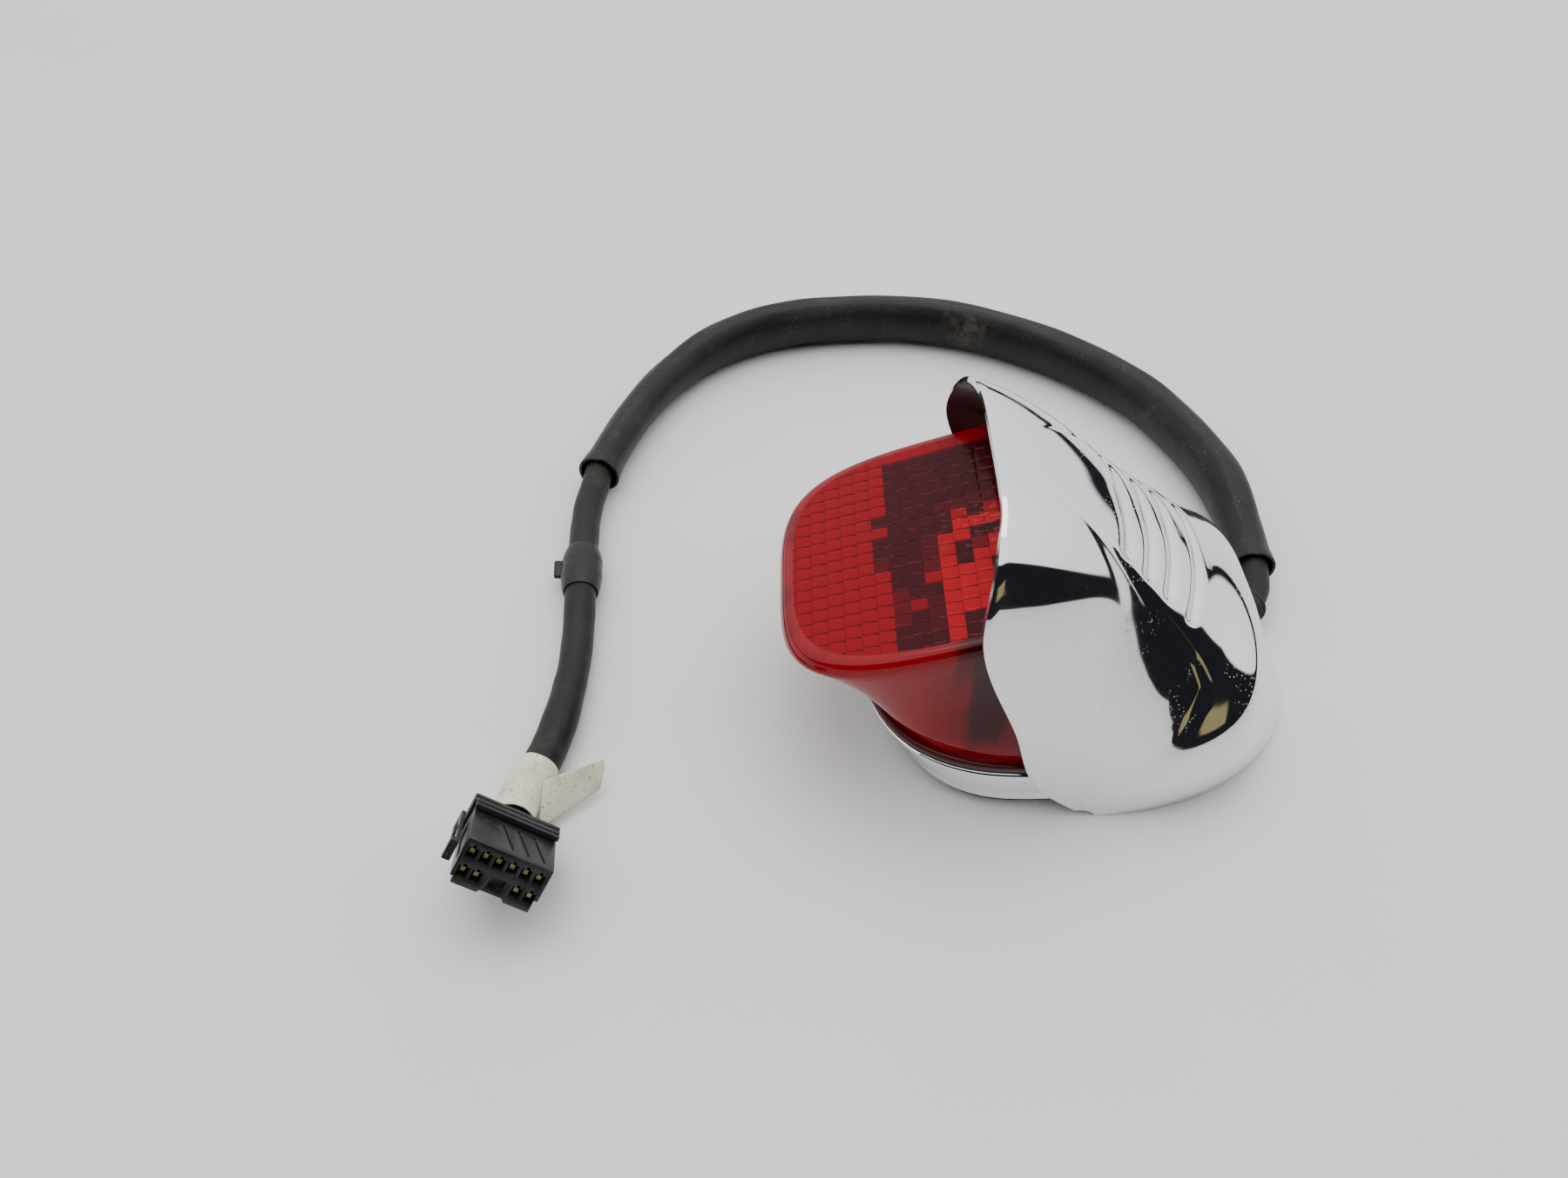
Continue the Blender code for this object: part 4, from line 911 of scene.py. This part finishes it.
def makeLens():
    columns, rows = lensDetail["columns"], lensDetail["rows"]
    us = [2 * i / columns - 1 for i in range(columns + 1)]
    vs = [2 * i / rows - 1 for i in range(rows + 1)]
    verts, faces, finishes = [], [], []
    for v in vs:
        for u in us:
            x, y = facePoint(u, v, lamp["beadInset"])
            rim = 1 - softStep(max(abs(u), abs(v)), 0.955, 0.985)
            verts.append(Vector((x, y, facePlane(x) + tileRelief(x, y) * float(rim))) * mm)
    faces += gridFaces(rows + 1, columns + 1)
    finishes += [0] * len(faces)
    width = columns + 1
    ring = [k for k in range(width)]
    ring += [row * width + columns for row in range(1, rows + 1)]
    ring += [rows * width + k for k in range(columns - 1, -1, -1)]
    ring += [row * width for row in range(rows - 1, 0, -1)]
    square = [(us[index % width], vs[index // width]) for index in ring]
    loops = [ring]

    def addLoop(place, finish):
        start = len(verts)
        for u, v in square:
            verts.append(Vector(place(u, v)) * mm)
        loop = list(range(start, start + len(square)))
        before = loops[-1]
        for k in range(len(loop)):
            j = (k + 1) % len(loop)
            faces.append((before[k], before[j], loop[j], loop[k]))
            finishes.append(finish)
        loops.append(loop)

    def bead(angle):
        # A quarter turn over the rim, from the face down to the widest line.
        inset = lamp["beadInset"] * (1 - math.sin(angle))
        drop = lamp["beadHeight"] * (1 - math.cos(angle)) - 0.55 * math.sin(2 * angle) ** 2

        def place(u, v):
            x, y = facePoint(u, v, inset)
            return x, y, facePlane(x) - drop
        return place

    for step in range(1, 11):
        addLoop(bead(math.pi / 2 * step / 10), 1)

    def wallPlace(share, inset):
        # From the widest line to the flange, drawn in a little below the bead.
        def place(u, v):
            x, y = facePoint(u, v, inset)
            fx, fy = footPoint(u, v, 2.8 + inset)
            high = facePlane(x) - lamp["beadHeight"]
            low = lamp["flangeZ"] + 0.3
            blend = share**0.92
            waist = 2.2 * math.sin(math.pi * min(share * 1.15, 1.0))
            px, py = x + (fx - x) * blend, y + (fy - y) * blend
            pull = math.hypot(px - lamp["faceMiddleX"], py) or 1.0
            px -= (px - lamp["faceMiddleX"]) / pull * waist
            py -= py / pull * waist
            return px, py, high + (low - high) * share
        return place

    for step in range(1, 15):
        addLoop(wallPlace(step / 14, 0.0), 1)
    for inset, height in ((1.2, lamp["flangeZ"] + 0.1), (0.5, lamp["flangeZ"]), (0.1, lamp["flangeZ"] - 0.5),
                          (0.0, lamp["flangeZ"] - 1.1), (0.0, lamp["footZ"] + 0.5), (0.4, lamp["footZ"])):
        addLoop(lambda u, v, inset=inset, height=height: (*footPoint(u, v, inset), height), 1)
    thick = lamp["wall"]
    addLoop(lambda u, v: (*footPoint(u, v, 2.8 + thick), lamp["footZ"]), 1)
    for step in range(12, -1, -3):
        addLoop(wallPlace(step / 14, thick), 1)

    def ceiling(inset, drop):
        def place(u, v):
            x, y = facePoint(u, v, inset)
            return x, y, facePlane(x) - drop
        return place

    addLoop(ceiling(thick + 3.0, thick + 1.0), 1)
    for inset in (14.0, 30.0, 48.0):
        addLoop(ceiling(inset * 0.44, thick + 0.6), 1)
    faces.append(tuple(loops[-1]))
    finishes.append(1)
    piece = makePiece("lensShell", verts, faces, [lensTiles, lensWall], finishes, sharp=60)
    return settle(piece, "red_lens", "root", "lens")


makeLens()
print("lens made")


# Visor hood: a fan of arched sections about the line through its side tips.

hood = {
    "tipX": 10.0, "halfWidth": 61.8, "height": 113.0, "lipX": -28.1, "bulge": 14.4, "wall": 2.0,
    "tipCut": 3.2, "rows": 241, "columns": 401, "coarse": 4,
    "tailReach": [(0.0, 1.0), (0.12, 0.878), (0.25, 0.863), (0.4, 0.926)],
    "lipReach": [(0.57, 0.663), (0.775, 0.749), (1.0, 1.0)],
    "power": [(0.0, 1.93), (0.25, 3.37), (0.5, 2.34), (0.77, 2.70), (1.0, 4.17)],
    "taper": [(0.0, 0.0), (0.5, 0.0), (0.77, 0.07), (1.0, 0.0)],
    "swell": [(0.0, 0.0), (0.14, 0.918), (0.40, 1.0), (0.72, 1.13), (0.95, 0.297), (1.0, 0.0)],
    "scoopTip": (-16.0, 12.5), "scoopAxis": (0.900, 0.436), "scoopDepth": 1.5, "scoopStep": 4.6,
    "scoopUpper": [(0, 0), (18, 0.9), (34, 1.6), (50, 2.6), (61, 2.4), (66.5, 0.6), (71.0, -2.0), (75, -5.0)],
    "scoopLower": [(0, -0.6), (30, -10.0), (55, -18.0), (64, -21.0), (75, -24.0)],
    "scoopEnd": [(0.0, 60.0), (0.25, 66.5), (0.5, 69.5), (0.8, 71.0), (1.0, 71.5)],
    "flutes": (0.795, 0.738, 0.680, 0.606), "fluteHalf": 0.022, "fluteDepth": 1.1, "fluteReach": 26.5,
}


def hoodGrid(rows, columns):
    lip = math.atan2(hood["height"], hood["lipX"] - hood["tipX"])
    tailReach = lamp["tailX"] - hood["tipX"]
    lipReach = math.hypot(hood["height"], hood["lipX"] - hood["tipX"])
    shares = np.linspace(0, 1, rows)
    knots = [(share, ratio * tailReach) for share, ratio in hood["tailReach"]]
    knots += [(share, ratio * lipReach) for share, ratio in hood["lipReach"]]
    reach = smoothCurve(knots, shares)
    power = smoothCurve(hood["power"], shares)
    taper = smoothCurve(hood["taper"], shares)
    fractions = np.linspace(0, 1, columns)
    angles = np.linspace(-math.pi / 2, math.pi / 2, 1441)
    grid = np.empty((rows, columns, 3))
    for row in range(rows):
        across = np.sign(np.sin(angles)) * np.abs(np.sin(angles)) ** (2 / power[row])
        up = np.abs(np.cos(angles)) ** (2 / power[row])
        width = across * (1 - taper[row] * up) * hood["halfWidth"]
        steps = np.hypot(np.diff(width), np.diff(up * reach[row]))
        lengths = np.concatenate([[0.0], np.cumsum(steps)])
        start = hood["tipCut"] / lengths[-1]
        places = (start + (1 - 2 * start) * fractions) * lengths[-1]
        rise = np.interp(places, lengths, up)
        swell = smoothCurve(hood["swell"], rise)
        theta = lip * shares[row]
        grid[row, :, 0] = hood["tipX"] + math.cos(theta) * reach[row] * rise
        grid[row, :, 0] -= hood["bulge"] * swell * shares[row] ** 2.6
        grid[row, :, 1] = np.interp(places, lengths, width)
        grid[row, :, 2] = math.sin(theta) * reach[row] * rise
    return grid, shares


def gridNormals(grid):
    along = np.gradient(grid, axis=0)
    across = np.gradient(grid, axis=1)
    normals = np.cross(across, along)
    return normals / (np.linalg.norm(normals, axis=2, keepdims=True) + 1e-12)


def scoopRelief(x, y):
    # A teardrop scoop in each shoulder: a sharp step under the crown, faired out below.
    tipX, tipY = hood["scoopTip"]
    axisX, axisY = hood["scoopAxis"]
    offX, offY = x - tipX, np.abs(y) - tipY
    along = offX * axisX + offY * axisY
    crownward = offX * axisY - offY * axisX
    upper = smoothCurve(hood["scoopUpper"], along)
    lower = smoothCurve(hood["scoopLower"], along)
    span = np.maximum(upper - lower, 0.3)
    across = np.clip((crownward - lower) / span, 0.0, 1.0)
    step = hood["scoopStep"] * softStep(along, 0.0, 40.0) + 0.3
    inside = softStep((upper - crownward) / step, 0.0, 1.0)
    reach = smoothCurve(hood["scoopEnd"], across)
    ends = softStep(along, 0.0, 45.0) * softStep(reach - along, 0.0, 5.0)
    faired = softStep(across, 0.0, 0.88)
    return -hood["scoopDepth"] * inside * ends * faired


def fluteRelief(shares, grid):
    y = grid[:, :, 1]
    depth = np.zeros(y.shape)
    for flute in hood["flutes"]:
        profile = np.exp(-((shares - flute) / (hood["fluteHalf"] * 0.55)) ** 2)[:, None]
        reach = hood["fluteReach"] + (0.795 - flute) * 34
        depth += profile * softStep(reach - np.abs(y), 0.0, 3.0)
    return hood["fluteDepth"] * depth


def makeHood():
    rows, columns, coarse = hood["rows"], hood["columns"], hood["coarse"]
    grid, shares = hoodGrid(rows, columns)
    normals = gridNormals(grid)
    if normals[rows // 2, columns // 2, 2] < 0:
        normals = -normals
    scoop = scoopRelief(grid[:, :, 0], grid[:, :, 1])
    relief = scoop - fluteRelief(shares, grid)
    lipRoll = softStep(shares, 0.992, 1.0)[:, None] * 0.35
    outer = grid + normals * (relief - lipRoll)[:, :, None]
    inner = grid + normals * (scoop - hood["wall"])[:, :, None]
    inner = inner[::coarse, ::coarse]
    outer[:, :, 2] = np.maximum(outer[:, :, 2], 0.0)
    inner[:, :, 2] = np.maximum(inner[:, :, 2], 0.0)
    verts = np.concatenate([outer.reshape(-1, 3), inner.reshape(-1, 3)]) * mm
    faces = gridFaces(rows, columns)
    innerRows, innerColumns = inner.shape[:2]
    start = rows * columns
    faces += gridFaces(innerRows, innerColumns, start)

    def rimFaces(cells):
        for (row, column), (nextRow, nextColumn) in zip(cells, cells[1:]):
            stepRow, stepColumn = nextRow - row, nextColumn - column
            outerEdge = [(row * coarse + stepRow * k) * columns + column * coarse + stepColumn * k
                         for k in range(coarse + 1)]
            innerEdge = [start + nextRow * innerColumns + nextColumn, start + row * innerColumns + column]
            faces.append(tuple(outerEdge + innerEdge))

    rimFaces([(0, k) for k in range(innerColumns)])
    rimFaces([(k, innerColumns - 1) for k in range(innerRows)])
    rimFaces([(innerRows - 1, k) for k in range(innerColumns - 1, -1, -1)])
    rimFaces([(k, 0) for k in range(innerRows - 1, -1, -1)])
    finishes = [0] * ((rows - 1) * (columns - 1)) + [1] * ((innerRows - 1) * (innerColumns - 1))
    finishes += [0] * (len(faces) - len(finishes))
    piece = makePiece("visorHood", verts, faces, [chrome, hoodInside], finishes, sharp=50)
    return settle(piece, "chrome", "root", "visor_hood")


makeHood()
print("hood made")


# Chrome base pan, turned over its outline with a rolled lower edge.

base = {
    "noseX": -65.5, "middleX": -10.0, "tailX": 68.0, "half": 58.0, "low": 5.0, "high": 18.0, "lean": 11.0,
    "nosePower": 2.6, "tailPower": 2.1, "points": 260,
    "profile": [(3.0, 15.5), (2.2, 14.9), (2.2, 6.2), (1.9, 5.3), (1.2, 5.0), (-0.2, 5.0), (-0.7, 5.5),
                (-0.6, 6.4), (-0.1, 7.4), (0.0, 9.0), (0.0, 16.4), (0.3, 17.4), (1.0, 17.9), (2.0, 18.0),
                (12.0, 18.0)],
}


def makeBase():
    points, profile = base["points"], base["profile"]
    verts = []
    for inset, height in profile:
        lean = base["lean"] * (base["high"] - height) / (base["high"] - base["low"])
        for k in range(points):
            angle = math.tau * (k + 0.5) / points
            along, across = -math.cos(angle), math.sin(angle)
            power = base["nosePower"] if along < 0 else base["tailPower"]
            reach = base["middleX"] - base["noseX"] - lean if along < 0 else base["tailX"] - base["middleX"]
            x = base["middleX"] + math.copysign(abs(along) ** (2 / power), along) * (reach - inset)
            y = math.copysign(abs(across) ** (2 / power), across) * (base["half"] - inset)
            verts.append(Vector((x, y, height)) * mm)
    faces = gridFaces(len(profile), points, wrap=True)
    last = (len(profile) - 1) * points
    faces.append(tuple(range(points)))
    faces.append(tuple(range(last, last + points)))
    pan = makePiece("basePan", verts, faces, [baseChrome], sharp=50)
    return settle(pan, "chrome", "root", "base_housing")


makeBase()
print("base made")


# The frame's own pieces that stay as they are and take only a finish.

nodeFinishes = {
    "lens_gasket": rubber, "fender_gasket": rubber, "reflector": mirror, "bulb_socket": phenolic,
    "socket_plunger": brass, "bulb_cap": brass, "bulb_glass": bulbGlass, "socket_lead": loomVinyl,
}
for kind in ("lens_screw", "hood_screw"):
    nodeFinishes.update({f"{kind}_{side}": steel for side in ("left", "right")})
for kind in ("mounting_stud", "stud_washer", "stud_nut"):
    nodeFinishes.update({f"{kind}_{end}": steel for end in ("front", "rear")})
nodeFinishes.update({f"terminal_{i:02d}": brass for i in range(1, 11)})
for nodeName, finish in nodeFinishes.items():
    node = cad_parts[nodeName]
    node.data.materials.clear()
    node.data.materials.append(finish)
print("frame nodes finished")
